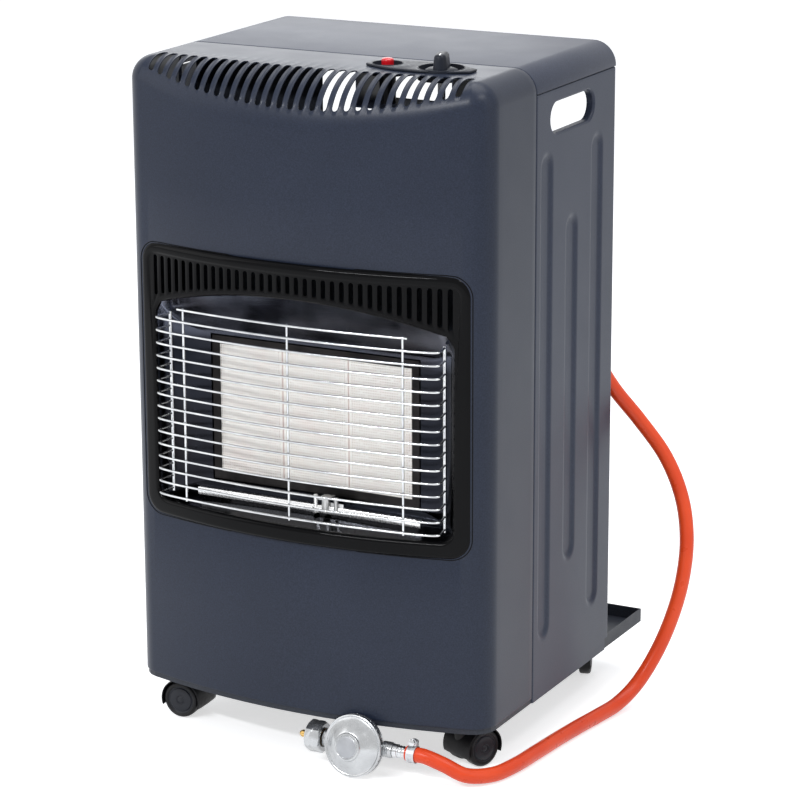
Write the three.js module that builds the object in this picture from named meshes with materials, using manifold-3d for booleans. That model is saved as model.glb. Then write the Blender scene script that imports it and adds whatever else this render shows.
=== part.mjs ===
// Portable gas cabinet heater on four twin-wheel casters, with its hose and bottle regulator.
// Millimetres, +Z up, the front towards -Y, the origin on the floor under the middle of the heater.

import * as THREE from "three";
import { mergeVertices } from "three/addons/utils/BufferGeometryUtils.js";
import Module from "manifold-3d";

const wasm = await Module();
wasm.setup();

// ---------------------------------------------------------------- driving dimensions

// Overall: across the side panels, front of the guard to the rear of the tray, floor to lid
const WIDTH = 420;
const DEPTH = 440;
const HEIGHT = 730;
const SHEET = 1.2; // painted steel sheet
const GAP = 0.3; // between pieces that touch

// Front shell: a bowed front, folded back at the corners, with a rounded brow
const GUARD_REACH = 10.5; // how far the guard stands out in front of the shell
const BOW_RADIUS = 702;
const PLAN_CORNER = 28;
const SHELL_DEPTH = 137.4; // front to seam
const SHELL_BOTTOM = 59;
const BROW_RADIUS = 58; // middle of the brow; it tightens to the shoulder's radius at the corners
const SHOULDER_RADIUS = 25.5; // top side corners of shell and lid, within the lid skirt
const SHELL_CUTOUT_LIP = 10; // how much of the bezel's edge lies on the shell

// Louvre slots over the brow
const LOUVRE_COUNT = 29;
const LOUVRE_PITCH = 12.6;
const LOUVRE_WIDTH = 6.6;
const LOUVRE_REAR_MIDDLE = 50; // rear ends, behind the shell's front
const LOUVRE_REAR_END = 60;
const LOUVRE_DROP_MIDDLE = 36; // lower ends, below the top
const LOUVRE_DROP_END = 13;

// Side panels, lid and tray
const PANEL_BOTTOM = 53;
const LID_SKIRT = 26;
const LID_OVERHANG = 2;
const SEAM = 0.8; // the dark line between shell, lid and panels
const JOGGLE = 8; // tongue of a side panel behind the shell's edge
const LID_TONGUE = 2.5; // and under the lid's skirt
const PANEL_FLANGE = 12; // rear edge of a side panel, folded inwards
const TRAY_TAIL = 95.5; // tray behind the side panels
const TRAY_BOTTOM = 53;
const TRAY_RIM = 15;
const PLATFORM_RISE = 2; // pressed up in the tray's floor, for the bottle
const PLATFORM_HALF = 120;
const PLATFORM_FRONT = 40; // behind the heat shield
const PLATFORM_REAR = 24; // in front of the tray's rear end
const PLATFORM_CORNER = 30;

// Pressed ribs and grip of a side panel
const RIB_DEPTH = 3;
const RIB_SLOPE = 6;
const RIB_WIDTH = 30;
const RIB_PITCH = 62;
const RIB_REAR_STRIP = 20; // plain strip at the panel's rear edge
const RIB_FOOT = 64; // outer ribs above the panel's lower edge
const RIB_HEAD = 90; // outer ribs below the top
const MIDDLE_RIB_FOOT = 135;
const MIDDLE_RIB_HEAD = 165;
const GRIP_LENGTH = 106;
const GRIP_HEIGHT = 32;
const GRIP_DROP = 57; // middle of the grip below the top
const GRIP_COLLAR = 9;

// Bezel with its arched window and slots
const BEZEL_PROUD = 6;
const BEZEL_BOW_RADIUS = 600;
const BEZEL_HALF = 193;
const BEZEL_BOTTOM = 242;
const BEZEL_TOP = 538;
const BEZEL_CORNER = 22;
const WINDOW_HALF = 174;
const WINDOW_BOTTOM = 260;
const WINDOW_SHOULDER = 472;
const WINDOW_CROWN = 500;
const BEZEL_SLOT_COUNT = 35;
const BEZEL_SLOT_PITCH = 10.1;
const BEZEL_SLOT_WIDTH = 5;
const BEZEL_SLOT_TOP = 525;
const BEZEL_SLOT_BOTTOM = 507;
const BEZEL_SLOT_SAG = 25; // outermost slots reach this much lower

// Burner: housing, reflector, plaques
const HOUSING_REAR = 102; // behind the shell's front
const HOUSING_MARGIN = 4; // outside the shell's cut-out
const REFLECTOR_LAP = 4; // reflector's front edge outside the window
const REFLECTOR_REAR = 50; // its flat back, behind the shell's front
const REFLECTOR_TAPER = 10;
const HOOD_REAR_DROP = 54; // the hood slopes this far below the window's crown
const PLAQUE_FRONT = 51; // behind the shell's front
const PLAQUE_THICK = 13;
const PLAQUE_WIDTH = 76.4;
const PLAQUE_SEAM = 1.4;
const PLAQUE_HEIGHT = 144.5;
const PLAQUE_BOTTOM = 287.5;
const FRAME_RIM = 6; // burner frame around the plaques
const FRAME_LIP = 2.5; // and over their edges
const PLENUM_DEPTH = 26;

// Wire guard
const WIRE = 3;
const ROD = 4;
const WIRE_COUNT = 15;
const WIRE_PITCH = 13.65;
const WIRE_LOWEST = 270.6;
const GUARD_HALF = 165;
const GUARD_RETURN_HALF = 161;
const GUARD_RETURN = 39; // rear rods behind the foremost wire
const GUARD_BOW = 5.1e-4; // sag of the bow, per mm, times x squared
const GUARD_UPRIGHT_X = 128;
const CROWN_WIRE_RISE = 13;

// Controls
const CONTROL_Y = 92; // knob and button, behind the shell's front
const KNOB_X = 126;
const BUTTON_X = 65;
const ESCUTCHEON_X = 103;
const ESCUTCHEON_LENGTH = 118;
const ESCUTCHEON_WIDTH = 52;
const ESCUTCHEON_END = 16; // width of its blunt ends
const ESCUTCHEON_THICK = 2.4;
const KNOB_RECESS = 46;
const BUTTON_RECESS = 30;
const RECESS_DEPTH = 8;
const KNOB_SKIRT = 34;
const KNOB_SKIRT_HEIGHT = 6;
const KNOB_GRIP_WIDTH = 14;
const KNOB_HEIGHT = 21;
const KNOB_TRAVEL = 4;
const SPINDLE = 8;
const RUNNING_GAP = 0.3;
const BUTTON_DIAMETER = 12.7;
const BUTTON_HEIGHT = 11;
const BUTTON_TRAVEL = 5;
const BUTTON_STEM = 6;
const BUTTON_STEM_REACH = 6; // below the recess, into the igniter

// Gas tap, its bracket and the igniter
const TAP_WIDTH = 28;
const TAP_HEIGHT = 34;
const BRACKET_DROP = 38; // bracket plate below the top
const BRACKET_SIDE_GAP = 4; // from the recesses to its legs
const BRACKET_DEPTH = 62;
const IGNITER_DIAMETER = 17;
const IGNITER_LENGTH = 70;

// Heat shield and gas pipes
const SHIELD_Y = 134; // behind the shell's front
const SHIELD_DROP = 90.5; // its upper edge below the top
const SHIELD_FLANGE = 10;
const SHIELD_SIDE_GAP = 2.5; // to the panels' tongues
const BAFFLE_LEFT = 185; // from the middle; the baffle closes the left half above the shield
const BAFFLE_RIGHT = 33;
const BAFFLE_LAP = 15; // in front of the shield's upper edge
const BAFFLE_TOP_GAP = 8; // under the shell's top
const PIPE = 8;
const PIPE_Y = 118;
const BURNER_INLET_X = 40;
const BURNER_INLET_Z = 400;
const NOZZLE_X = 180;
const NOZZLE_Z = 520;
const NOZZLE_HEX = 19;
const NOZZLE_STUB = 9.6;
const NOZZLE_FLANGE = 16;

// Pilot assembly
const PILOT_X = 22;
const PILOT_Z = 276;
const PILOT_Y = 37; // behind the shell's front
const PILOT_BURNER = 9;
const PILOT_SPACING = 12; // from the pilot burner to its electrode and to the thermocouple
const PILOT_PLATE_END = 20; // plate beyond the pilot burner, on the electrode's side
const PILOT_FOOT = 7; // below its middle
const PILOT_HEAD = 8;
const ELECTRODE = 5;
const THERMOCOUPLE = 4.6;
const PILOT_DEPTH = 5; // its pieces stand in front of the plate

// Casters
const CASTER_X = 162;
const FRONT_CASTER_Y = 72; // behind the shell's front
const REAR_CASTER_X = 146;
const REAR_CASTER_INSET = 44; // in front of the tray's rear end
const WHEEL = 40;
const WHEEL_WIDTH = 13;
const WHEEL_SPACE = 15; // between the two wheels
const TRAIL = 12;
const MUDGUARD_GAP = 1.6;
const MUDGUARD_THICK = 2.2;
const MUDGUARD_FROM = -20; // degrees above the level, behind the wheels
const MUDGUARD_TO = 200;
const WEB_THICK = 13;
const STEM = 8;
const STEM_DEPTH = 18; // stem below the tray
const STEM_NUT = 6;
const STEM_NUT_FLATS = 13;
const STEM_COLLAR = 20;
const AXLE = 5;

// Regulator and hose
const HOSE = 16;
const REGULATOR = 66;
const REGULATOR_X = 75;
const REGULATOR_TILT = 12; // degrees, leaning back on the shell's lower edge
const REGULATOR_RIM = 10;
const REGULATOR_AXIS = 11; // gas passage behind the diaphragm
const CAP_RISE = 13; // boss in front of the rim
const CAP_BOSS = 28;
const BOWL_DEPTH = 17;
const SPIGOT = 20; // on the inlet side, inside the nut
const SPIGOT_END = 40; // from the regulator's middle
const NUT_FLATS = 30;
const NUT_END = 58;
const NOZZLE_TIP = 8;
const OUTLET_BOSS = 16;
const OUTLET_TUBE = 12.5;
const OUTLET_END = 56;
const CLIP_WIDTH = 9;
const CLIP_BAND = 0.9;
const CLIP_SCREW = 8;

// ---------------------------------------------------------------- places worked out from them

const frontY = -DEPTH / 2 + GUARD_REACH; // the shell's foremost line
const rearY = DEPTH / 2;
const seamY = frontY + SHELL_DEPTH;
const panelRearY = rearY - TRAY_TAIL;
const halfWidth = WIDTH / 2;
const lidBottom = HEIGHT - LID_SKIRT;
const trayFloor = TRAY_BOTTOM + SHEET;
const shieldY = frontY + SHIELD_Y;
const controlY = frontY + CONTROL_Y;
const plaqueTop = PLAQUE_BOTTOM + PLAQUE_HEIGHT;
const plaquesHalf = (3 * PLAQUE_WIDTH + 2 * PLAQUE_SEAM) / 2;
const wheelRadius = WHEEL / 2;
const panelMiddleY = (seamY + panelRearY - RIB_REAR_STRIP) / 2;

// ---------------------------------------------------------------- materials

const paint = (color, roughness, metalness) =>
  new THREE.MeshStandardMaterial({ color, roughness, metalness, flatShading: true });

const NAVY = paint(0x3c4458, 0.5, 0.2);
const SLATE = paint(0x545a66, 0.5, 0.2);
const GLOSS_BLACK = paint(0x0c0c0f, 0.15, 0.1);
const DARK_STEEL = paint(0x2c2e33, 0.45, 0.6);
const MIRROR_STEEL = paint(0x8a8e94, 0.12, 1);
const GALVANISED = paint(0x9a9ea2, 0.4, 0.9);
const CHROME = paint(0xd8dadc, 0.1, 1);
const BRASS = paint(0xc9a04a, 0.3, 1);
const CERAMIC = paint(0xefe6d8, 0.9, 0);
const BLACK_PLASTIC = paint(0x1d1e21, 0.5, 0);
const GREY_PLASTIC = paint(0x33363d, 0.5, 0);
const RED_PLASTIC = paint(0xd01c20, 0.3, 0);
const CAST_ZINC = paint(0xb9bcbe, 0.35, 0.9);
const HOSE_RUBBER = paint(0xeb5028, 0.45, 0);

// ---------------------------------------------------------------- solids

const X = new THREE.Vector3(1, 0, 0);
const Y = new THREE.Vector3(0, 1, 0);
const Z = new THREE.Vector3(0, 0, 1);

// Where an outline's own x, y and extrusion point, for a prism along each axis
const PRISM_FRAMES = {
  x: new THREE.Matrix4().makeBasis(Y, Z, X),
  y: new THREE.Matrix4().makeBasis(X, Z, Y.clone().negate()),
  z: new THREE.Matrix4().makeBasis(X, Y, Z),
};

// A closed three.js geometry as a solid for joining and cutting
function solid(geometry) {
  geometry.deleteAttribute("normal");
  geometry.deleteAttribute("uv");
  const merged = mergeVertices(geometry, 1e-4);
  return new wasm.Manifold(
    new wasm.Mesh({
      numProp: 3,
      vertProperties: merged.attributes.position.array,
      triVerts: new Uint32Array(merged.index.array),
    }),
  );
}

// An outline of [u, v] points, drawn out along an axis
function prism(axis, outline, from, to) {
  const shape = new THREE.Shape(outline.map(([u, v]) => new THREE.Vector2(u, v)));
  const geometry = new THREE.ExtrudeGeometry(shape, { depth: to - from, bevelEnabled: false });
  const start = axis === "y" ? -to : from;
  geometry.translate(0, 0, start);
  geometry.applyMatrix4(PRISM_FRAMES[axis]);
  return solid(geometry);
}

function box(x0, x1, y0, y1, z0, z1) {
  const geometry = new THREE.BoxGeometry(x1 - x0, y1 - y0, z1 - z0);
  geometry.translate((x0 + x1) / 2, (y0 + y1) / 2, (z0 + z1) / 2);
  return solid(geometry);
}

// A round bar between two points
function bar(from, to, diameter, sides = 12) {
  const start = new THREE.Vector3(...from);
  const end = new THREE.Vector3(...to);
  const direction = end.clone().sub(start);
  const geometry = new THREE.CylinderGeometry(diameter / 2, diameter / 2, direction.length(), sides);
  const turn = new THREE.Quaternion().setFromUnitVectors(Y, direction.clone().normalize());
  geometry.applyQuaternion(turn);
  const middle = start.add(end).multiplyScalar(0.5);
  geometry.translate(middle.x, middle.y, middle.z);
  return solid(geometry);
}

// A [radius, height] profile turned about +Z, then laid along the axis asked for
function turned(profile, segments = 24, axis = "z") {
  const geometry = new THREE.LatheGeometry(
    profile.map(([radius, height]) => new THREE.Vector2(radius, height)),
    segments,
  );
  geometry.rotateX(Math.PI / 2);
  if (axis !== "z") {
    geometry.applyMatrix4(PRISM_FRAMES[axis]);
  }
  return solid(geometry);
}

// A tube along a smooth curve
function tube(points, diameter, steps, sides = 8) {
  const curve = new THREE.CatmullRomCurve3(
    points.map((point) => new THREE.Vector3(...point)),
    false,
    "centripetal",
  );
  const section = new THREE.Shape(circle(diameter / 2, sides).map(([u, v]) => new THREE.Vector2(u, v)));
  return solid(
    new THREE.ExtrudeGeometry(section, { steps, extrudePath: curve, bevelEnabled: false }),
  );
}

// A skin through rings of as many points each, with its ends capped or, when closed, joined up
function loft(rings, closed = false) {
  const count = rings[0].length;
  const positions = rings.flat(2);
  const triangles = [];
  const last = closed ? rings.length : rings.length - 1;
  for (let ring = 0; ring < last; ring += 1) {
    const below = ring * count;
    const above = ((ring + 1) % rings.length) * count;
    for (let i = 0; i < count; i += 1) {
      const next = (i + 1) % count;
      triangles.push(below + i, below + next, above + next);
      triangles.push(below + i, above + next, above + i);
    }
  }
  if (!closed) {
    const end = (rings.length - 1) * count;
    for (let i = 1; i < count - 1; i += 1) {
      triangles.push(0, i + 1, i);
      triangles.push(end, end + i, end + i + 1);
    }
  }
  const geometry = new THREE.BufferGeometry();
  geometry.setAttribute("position", new THREE.Float32BufferAttribute(positions, 3));
  geometry.setIndex(triangles);
  return solid(geometry);
}

const join = (pieces) => pieces.reduce((whole, piece) => whole.add(piece));
const cut = (body, cutters) => cutters.reduce((rest, cutter) => rest.subtract(cutter), body);

// ---------------------------------------------------------------- outlines

function circle(radius, sides, u = 0, v = 0) {
  return Array.from({ length: sides }, (_, i) => {
    const angle = (2 * Math.PI * (i + 0.5)) / sides;
    return [u + radius * Math.sin(angle), v - radius * Math.cos(angle)];
  });
}

function hexagon(flats, u = 0, v = 0) {
  return circle(flats / Math.sqrt(3), 6, u, v);
}

// A full-round slot, long in u
function slotOutline(length, height, u = 0, v = 0, steps = 5) {
  const radius = height / 2;
  const reach = length / 2 - radius;
  const points = [];
  for (const side of [1, -1]) {
    for (let i = 0; i <= steps; i += 1) {
      const angle = -Math.PI / 2 + (Math.PI * i) / steps;
      points.push([u + side * (reach + radius * Math.cos(angle)), v + side * radius * Math.sin(angle)]);
    }
  }
  return points;
}

function roundedRectangle(u0, u1, v0, v1, radius, steps = 4) {
  const corners = [
    [u1 - radius, v0 + radius, -Math.PI / 2],
    [u1 - radius, v1 - radius, 0],
    [u0 + radius, v1 - radius, Math.PI / 2],
    [u0 + radius, v0 + radius, Math.PI],
  ];
  return corners.flatMap(([u, v, start]) =>
    Array.from({ length: steps + 1 }, (_, i) => {
      const angle = start + (Math.PI / 2) * (i / steps);
      return [u + radius * Math.cos(angle), v + radius * Math.sin(angle)];
    }),
  );
}

// How far a bow of a radius has fallen back at x
const fallBack = (radius, x) => radius - Math.sqrt(radius ** 2 - x ** 2);
const shellFrontAt = (x) => frontY + fallBack(BOW_RADIUS, x);

// The cabinet's plan, moved inwards: bowed front, round corners, straight sides back to backY
function plan(inset, backY) {
  const bowSteps = 12;
  const cornerSteps = 4;
  const bowCentreY = frontY + BOW_RADIUS;
  const bowRadius = BOW_RADIUS - inset;
  const cornerRadius = PLAN_CORNER - inset;
  const cornerX = halfWidth - PLAN_CORNER;
  const cornerY = bowCentreY - Math.sqrt((BOW_RADIUS - PLAN_CORNER) ** 2 - cornerX ** 2);
  const turn = Math.atan2(cornerX, bowCentreY - cornerY);
  const right = [];
  for (let i = 1; i <= bowSteps / 2; i += 1) {
    const angle = (turn * i) / (bowSteps / 2);
    right.push([bowRadius * Math.sin(angle), bowCentreY - bowRadius * Math.cos(angle)]);
  }
  for (let i = 1; i <= cornerSteps; i += 1) {
    const angle = turn + (Math.PI / 2 - turn) * (i / cornerSteps);
    right.push([cornerX + cornerRadius * Math.sin(angle), cornerY - cornerRadius * Math.cos(angle)]);
  }
  right.push([halfWidth - inset, backY]);
  const left = right.map(([x, y]) => [-x, y]).reverse();
  return [...left, [0, frontY + inset], ...right];
}

// The cabinet's front view, moved inwards: straight sides and round shoulders
function shoulders(inset, bottom) {
  const radius = SHOULDER_RADIUS - inset;
  const half = halfWidth - inset;
  const top = HEIGHT - inset;
  const steps = 4;
  const right = Array.from({ length: steps + 1 }, (_, i) => {
    const angle = (Math.PI / 2) * (i / steps);
    return [half - radius + radius * Math.cos(angle), top - radius + radius * Math.sin(angle)];
  });
  const left = right.map(([x, z]) => [-x, z]).reverse();
  return [[half, bottom], ...right, ...left, [-half, bottom]];
}

// The shell's skin, moved inwards by depth: its plan rises to the brow and rolls inwards over a radius that
// is largest in the middle of the bow
function shellSkin(depth, bottom, backY) {
  const cornerX = halfWidth - PLAN_CORNER;
  const cornerY = frontY + BOW_RADIUS - Math.sqrt((BOW_RADIUS - PLAN_CORNER) ** 2 - cornerX ** 2);
  const turn = Math.atan2(cornerX, frontY + BOW_RADIUS - cornerY);
  const bowEnd = BOW_RADIUS * Math.sin(turn);
  const bowSteps = 14;
  const cornerSteps = 4;
  const rollSteps = 5;
  const right = [];
  for (let i = 0; i <= bowSteps / 2; i += 1) {
    const x = (bowEnd * i) / (bowSteps / 2);
    const radius = SHOULDER_RADIUS + (BROW_RADIUS - SHOULDER_RADIUS) * (1 - (x / bowEnd) ** 2);
    const lean = i === bowSteps / 2 ? turn : 0;
    right.push({ x, y: shellFrontAt(x), inwardX: -Math.sin(lean), inwardY: Math.cos(lean), radius });
  }
  for (let i = 1; i <= cornerSteps; i += 1) {
    const lean = turn + (Math.PI / 2 - turn) * (i / cornerSteps);
    const [inwardX, inwardY] = [-Math.sin(lean), Math.cos(lean)];
    const x = cornerX - PLAN_CORNER * inwardX;
    right.push({ x, y: cornerY - PLAN_CORNER * inwardY, inwardX, inwardY, radius: SHOULDER_RADIUS });
  }
  right.push({ x: halfWidth, y: backY, inwardX: -1, inwardY: 0, radius: SHOULDER_RADIUS });
  const left = right.slice(1).map((foot) => ({ ...foot, x: -foot.x, inwardX: -foot.inwardX }));
  const feet = [...left.reverse(), ...right];
  const at = (foot, inset, z) => [foot.x + foot.inwardX * inset, foot.y + foot.inwardY * inset, z];
  const rings = [feet.map((foot) => at(foot, depth, bottom))];
  for (let i = 0; i <= rollSteps; i += 1) {
    const roll = (Math.PI / 2) * (i / rollSteps);
    rings.push(
      feet.map((foot) => {
        const reach = foot.radius - depth;
        const z = HEIGHT - foot.radius + reach * Math.sin(roll);
        return at(foot, foot.radius - reach * Math.cos(roll), z);
      }),
    );
  }
  return loft(rings);
}

// The bezel's window, moved outwards: a flat sill, straight sides and an arched head
function windowOutline(grow, archSteps = 10) {
  const half = WINDOW_HALF + grow;
  const rise = WINDOW_CROWN - WINDOW_SHOULDER;
  const radius = (half ** 2 + rise ** 2) / (2 * rise);
  const points = [
    [-half, WINDOW_BOTTOM - grow],
    [half, WINDOW_BOTTOM - grow],
  ];
  for (let i = 0; i <= archSteps; i += 1) {
    const x = half - (2 * half * i) / archSteps;
    points.push([x, WINDOW_CROWN + grow - fallBack(radius, x)]);
  }
  return points;
}

// ---------------------------------------------------------------- the assembly

const heater = new THREE.Group();
heater.name = "gas_cabinet_heater";

function place(name, body, material, parent = heater) {
  const { vertProperties, triVerts } = body.getMesh();
  const geometry = new THREE.BufferGeometry();
  geometry.setAttribute("position", new THREE.BufferAttribute(vertProperties, 3));
  geometry.setIndex(new THREE.BufferAttribute(triVerts, 1));
  const mesh = new THREE.Mesh(geometry, material);
  mesh.name = name;
  parent.add(mesh);
  return mesh;
}

// ---------------------------------------------------------------- cabinet

function louvreCutters() {
  const span = ((LOUVRE_COUNT - 1) / 2) * LOUVRE_PITCH;
  return Array.from({ length: LOUVRE_COUNT }, (_, i) => {
    const x = -span + i * LOUVRE_PITCH;
    const share = (x / span) ** 2;
    const drop = LOUVRE_DROP_MIDDLE + (LOUVRE_DROP_END - LOUVRE_DROP_MIDDLE) * share;
    const rear = LOUVRE_REAR_MIDDLE + (LOUVRE_REAR_END - LOUVRE_REAR_MIDDLE) * share;
    return box(
      x - LOUVRE_WIDTH / 2,
      x + LOUVRE_WIDTH / 2,
      frontY - SHEET,
      frontY + rear,
      HEIGHT - drop,
      HEIGHT + SHEET,
    );
  });
}

function frontShell() {
  const walls = shellSkin(0, SHELL_BOTTOM, seamY).subtract(
    shellSkin(SHEET, SHELL_BOTTOM - SHEET, seamY + SHEET),
  );
  const half = BEZEL_HALF - SHELL_CUTOUT_LIP;
  const cutout = roundedRectangle(
    -half,
    half,
    BEZEL_BOTTOM + SHELL_CUTOUT_LIP,
    BEZEL_TOP - SHELL_CUTOUT_LIP,
    BEZEL_CORNER - SHELL_CUTOUT_LIP,
  );
  const topHole = (x, diameter) =>
    bar([x, controlY, HEIGHT - 2 * SHEET], [x, controlY, HEIGHT + SHEET], diameter, 20);
  const clearance = 2 * (SHEET + 2 * GAP);
  return cut(walls, [
    prism("y", cutout, frontY - SHEET, frontY + PLAN_CORNER + PLAQUE_FRONT),
    topHole(KNOB_X, KNOB_RECESS + clearance),
    topHole(BUTTON_X, BUTTON_RECESS + clearance),
    ...louvreCutters(),
  ]);
}

function lid() {
  const front = seamY + SEAM;
  const back = panelRearY + LID_OVERHANG;
  const outer = prism("y", shoulders(0, lidBottom), front, back);
  const inner = prism("y", shoulders(SHEET, lidBottom - SHEET), front - SHEET, back - SHEET);
  return outer.subtract(inner);
}

// A pressed rib's rings: its floor, and its mouth on the panel
function ribRings(grow, y, bottom, top, mouthX, floorX) {
  const ring = (inset, x) => {
    const outline = slotOutline(top - bottom + 2 * (grow - inset), RIB_WIDTH + 2 * (grow - inset));
    return outline.map(([along, across]) => [x, y - across, (bottom + top) / 2 + along]);
  };
  return [ring(RIB_SLOPE, floorX), ring(0, mouthX)];
}

// The ribs that fit between the seam and the plain rear strip, the inner ones shorter
function ribPlaces() {
  const room = panelRearY - RIB_REAR_STRIP - seamY - RIB_WIDTH;
  const count = Math.floor(room / RIB_PITCH) + 1;
  return Array.from({ length: count }, (_, i) => {
    const isEnd = i === 0 || i === count - 1;
    return {
      y: panelMiddleY + (i - (count - 1) / 2) * RIB_PITCH,
      bottom: PANEL_BOTTOM + (isEnd ? RIB_FOOT : MIDDLE_RIB_FOOT),
      top: HEIGHT - (isEnd ? RIB_HEAD : MIDDLE_RIB_HEAD),
    };
  });
}

// The right side panel; the left one is its mirror image
function rightSidePanel() {
  const outside = halfWidth;
  const inside = halfWidth - SHEET;
  const tongueOut = inside - GAP;
  const tongueIn = tongueOut - SHEET;
  const front = seamY + SEAM;
  const top = lidBottom - SEAM;
  const tongueFoot = TRAY_BOTTOM + TRAY_RIM + 2;
  const sheet = box(inside, outside, front, panelRearY, PANEL_BOTTOM, top);
  const rearFlange = box(
    halfWidth - PANEL_FLANGE,
    outside,
    panelRearY - SHEET,
    panelRearY,
    tongueFoot,
    top,
  );
  const frontTongue = box(tongueIn, tongueOut, seamY - JOGGLE, front + JOGGLE, tongueFoot, top);
  const frontStep = box(tongueIn, outside, front, front + SHEET, tongueFoot, top);
  const topTongue = box(tongueIn, tongueOut, front, panelRearY - SHEET, top - JOGGLE, top + LID_TONGUE);
  const topStep = box(tongueIn, outside, front, panelRearY, top - SHEET, top);
  const ribs = ribPlaces();
  const backs = ribs.map(({ y, bottom, top: head }) =>
    loft(ribRings(SHEET, y, bottom, head, outside, inside - RIB_DEPTH)),
  );
  const mouths = ribs.map(({ y, bottom, top: head }) =>
    loft(ribRings(0, y, bottom, head, outside + SHEET, outside - RIB_DEPTH)),
  );
  const gripZ = HEIGHT - GRIP_DROP;
  const grip = (grow) =>
    slotOutline(GRIP_LENGTH + 2 * grow, GRIP_HEIGHT + 2 * grow, panelMiddleY, gripZ);
  const collar = prism("x", grip(SHEET), outside - GRIP_COLLAR, outside);
  const folds = [rearFlange, frontTongue, frontStep, topTongue, topStep];
  const solidPanel = join([sheet, ...folds, collar, ...backs]);
  return cut(solidPanel, [...mouths, prism("x", grip(0), outside - 2 * GRIP_COLLAR, outside + SHEET)]);
}

const mirrored = (body) => body.mirror([1, 0, 0]);

const casterPlaces = [
  { name: "front_left", x: -CASTER_X, y: frontY + FRONT_CASTER_Y, turn: 93 },
  { name: "front_right", x: CASTER_X, y: frontY + FRONT_CASTER_Y, turn: -23 },
  { name: "rear_left", x: -REAR_CASTER_X, y: rearY - REAR_CASTER_INSET, turn: 150 },
  { name: "rear_right", x: REAR_CASTER_X, y: rearY - REAR_CASTER_INSET, turn: 200 },
];

function baseTray() {
  const inset = SHEET + GAP;
  const top = TRAY_BOTTOM + TRAY_RIM;
  const outer = prism("z", plan(inset, rearY), TRAY_BOTTOM, top);
  const inner = prism("z", plan(inset + SHEET, rearY - SHEET), trayFloor, top + SHEET);
  const holes = casterPlaces.map(({ x, y }) =>
    bar([x, y, TRAY_BOTTOM - SHEET], [x, y, trayFloor + SHEET], STEM + 2 * GAP, 16),
  );
  const platform = (shrink, from, to) => {
    const half = PLATFORM_HALF - shrink;
    const outline = roundedRectangle(
      -half,
      half,
      shieldY + PLATFORM_FRONT + shrink,
      rearY - PLATFORM_REAR - shrink,
      PLATFORM_CORNER - shrink,
    );
    return prism("z", outline, from, to);
  };
  const pressedUp = platform(0, trayFloor - SHEET / 2, trayFloor + PLATFORM_RISE);
  const pressedOut = platform(SHEET, TRAY_BOTTOM - SHEET, TRAY_BOTTOM + PLATFORM_RISE);
  return cut(cut(outer, [inner, ...holes]).add(pressedUp), [pressedOut]);
}

function heatShield() {
  const half = halfWidth - 2 * SHEET - GAP - SHIELD_SIDE_GAP;
  const bottom = trayFloor + GAP;
  const top = HEIGHT - SHIELD_DROP;
  const plate = box(-half, half, shieldY, shieldY + SHEET, bottom, top);
  const flange = (x) => box(x, x + SHEET, shieldY, shieldY + SHIELD_FLANGE, bottom, top);
  const foot = box(-half, half, shieldY, shieldY + SHIELD_FLANGE, bottom, bottom + SHEET);
  const hole = bar(
    [NOZZLE_X, shieldY - SHEET, NOZZLE_Z],
    [NOZZLE_X, shieldY + 2 * SHEET, NOZZLE_Z],
    NOZZLE_STUB + 2 * GAP,
  );
  return cut(join([plate, flange(-half), flange(half - SHEET), foot]), [hole]);
}

// Closes the gap over the shield's left half, so that no draught comes out of the louvres
function draughtBaffle() {
  const back = shieldY - GAP;
  const bottom = HEIGHT - SHIELD_DROP - BAFFLE_LAP;
  return box(-BAFFLE_LEFT, -BAFFLE_RIGHT, back - SHEET, back, bottom, HEIGHT - BAFFLE_TOP_GAP);
}

place("front_shell", frontShell(), NAVY);
place("lid", lid(), SLATE);
place("right_side_panel", rightSidePanel(), SLATE);
place("left_side_panel", mirrored(rightSidePanel()), SLATE);
place("base_tray", baseTray(), DARK_STEEL);
place("heat_shield", heatShield(), GALVANISED);
place("draught_baffle", draughtBaffle(), DARK_STEEL);

// ---------------------------------------------------------------- bezel and burner

function bezel() {
  const front = frontY - BEZEL_PROUD;
  const edgeY = front + fallBack(BEZEL_BOW_RADIUS, BEZEL_HALF);
  const steps = 12;
  const face = Array.from({ length: steps + 1 }, (_, i) => {
    const x = -BEZEL_HALF + (2 * BEZEL_HALF * i) / steps;
    return [x, front + fallBack(BEZEL_BOW_RADIUS, x)];
  });
  const back = edgeY + PLAN_CORNER;
  const slab = prism("z", [...face, [BEZEL_HALF, back], [-BEZEL_HALF, back]], BEZEL_BOTTOM, BEZEL_TOP);
  const outline = roundedRectangle(-BEZEL_HALF, BEZEL_HALF, BEZEL_BOTTOM, BEZEL_TOP, BEZEL_CORNER);
  const pressed = slab
    .intersect(prism("y", outline, front - SHEET, back + SHEET))
    .subtract(prism("z", plan(-GAP, seamY), BEZEL_BOTTOM - SHEET, BEZEL_TOP + SHEET));
  const span = ((BEZEL_SLOT_COUNT - 1) / 2) * BEZEL_SLOT_PITCH;
  const slots = Array.from({ length: BEZEL_SLOT_COUNT }, (_, i) => {
    const x = -span + i * BEZEL_SLOT_PITCH;
    const bottom = BEZEL_SLOT_BOTTOM - BEZEL_SLOT_SAG * (x / span) ** 2;
    const half = BEZEL_SLOT_WIDTH / 2;
    return box(x - half, x + half, front - SHEET, back, bottom, BEZEL_SLOT_TOP);
  });
  return cut(pressed, [prism("y", windowOutline(0), front - SHEET, back + SHEET), ...slots]);
}

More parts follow.
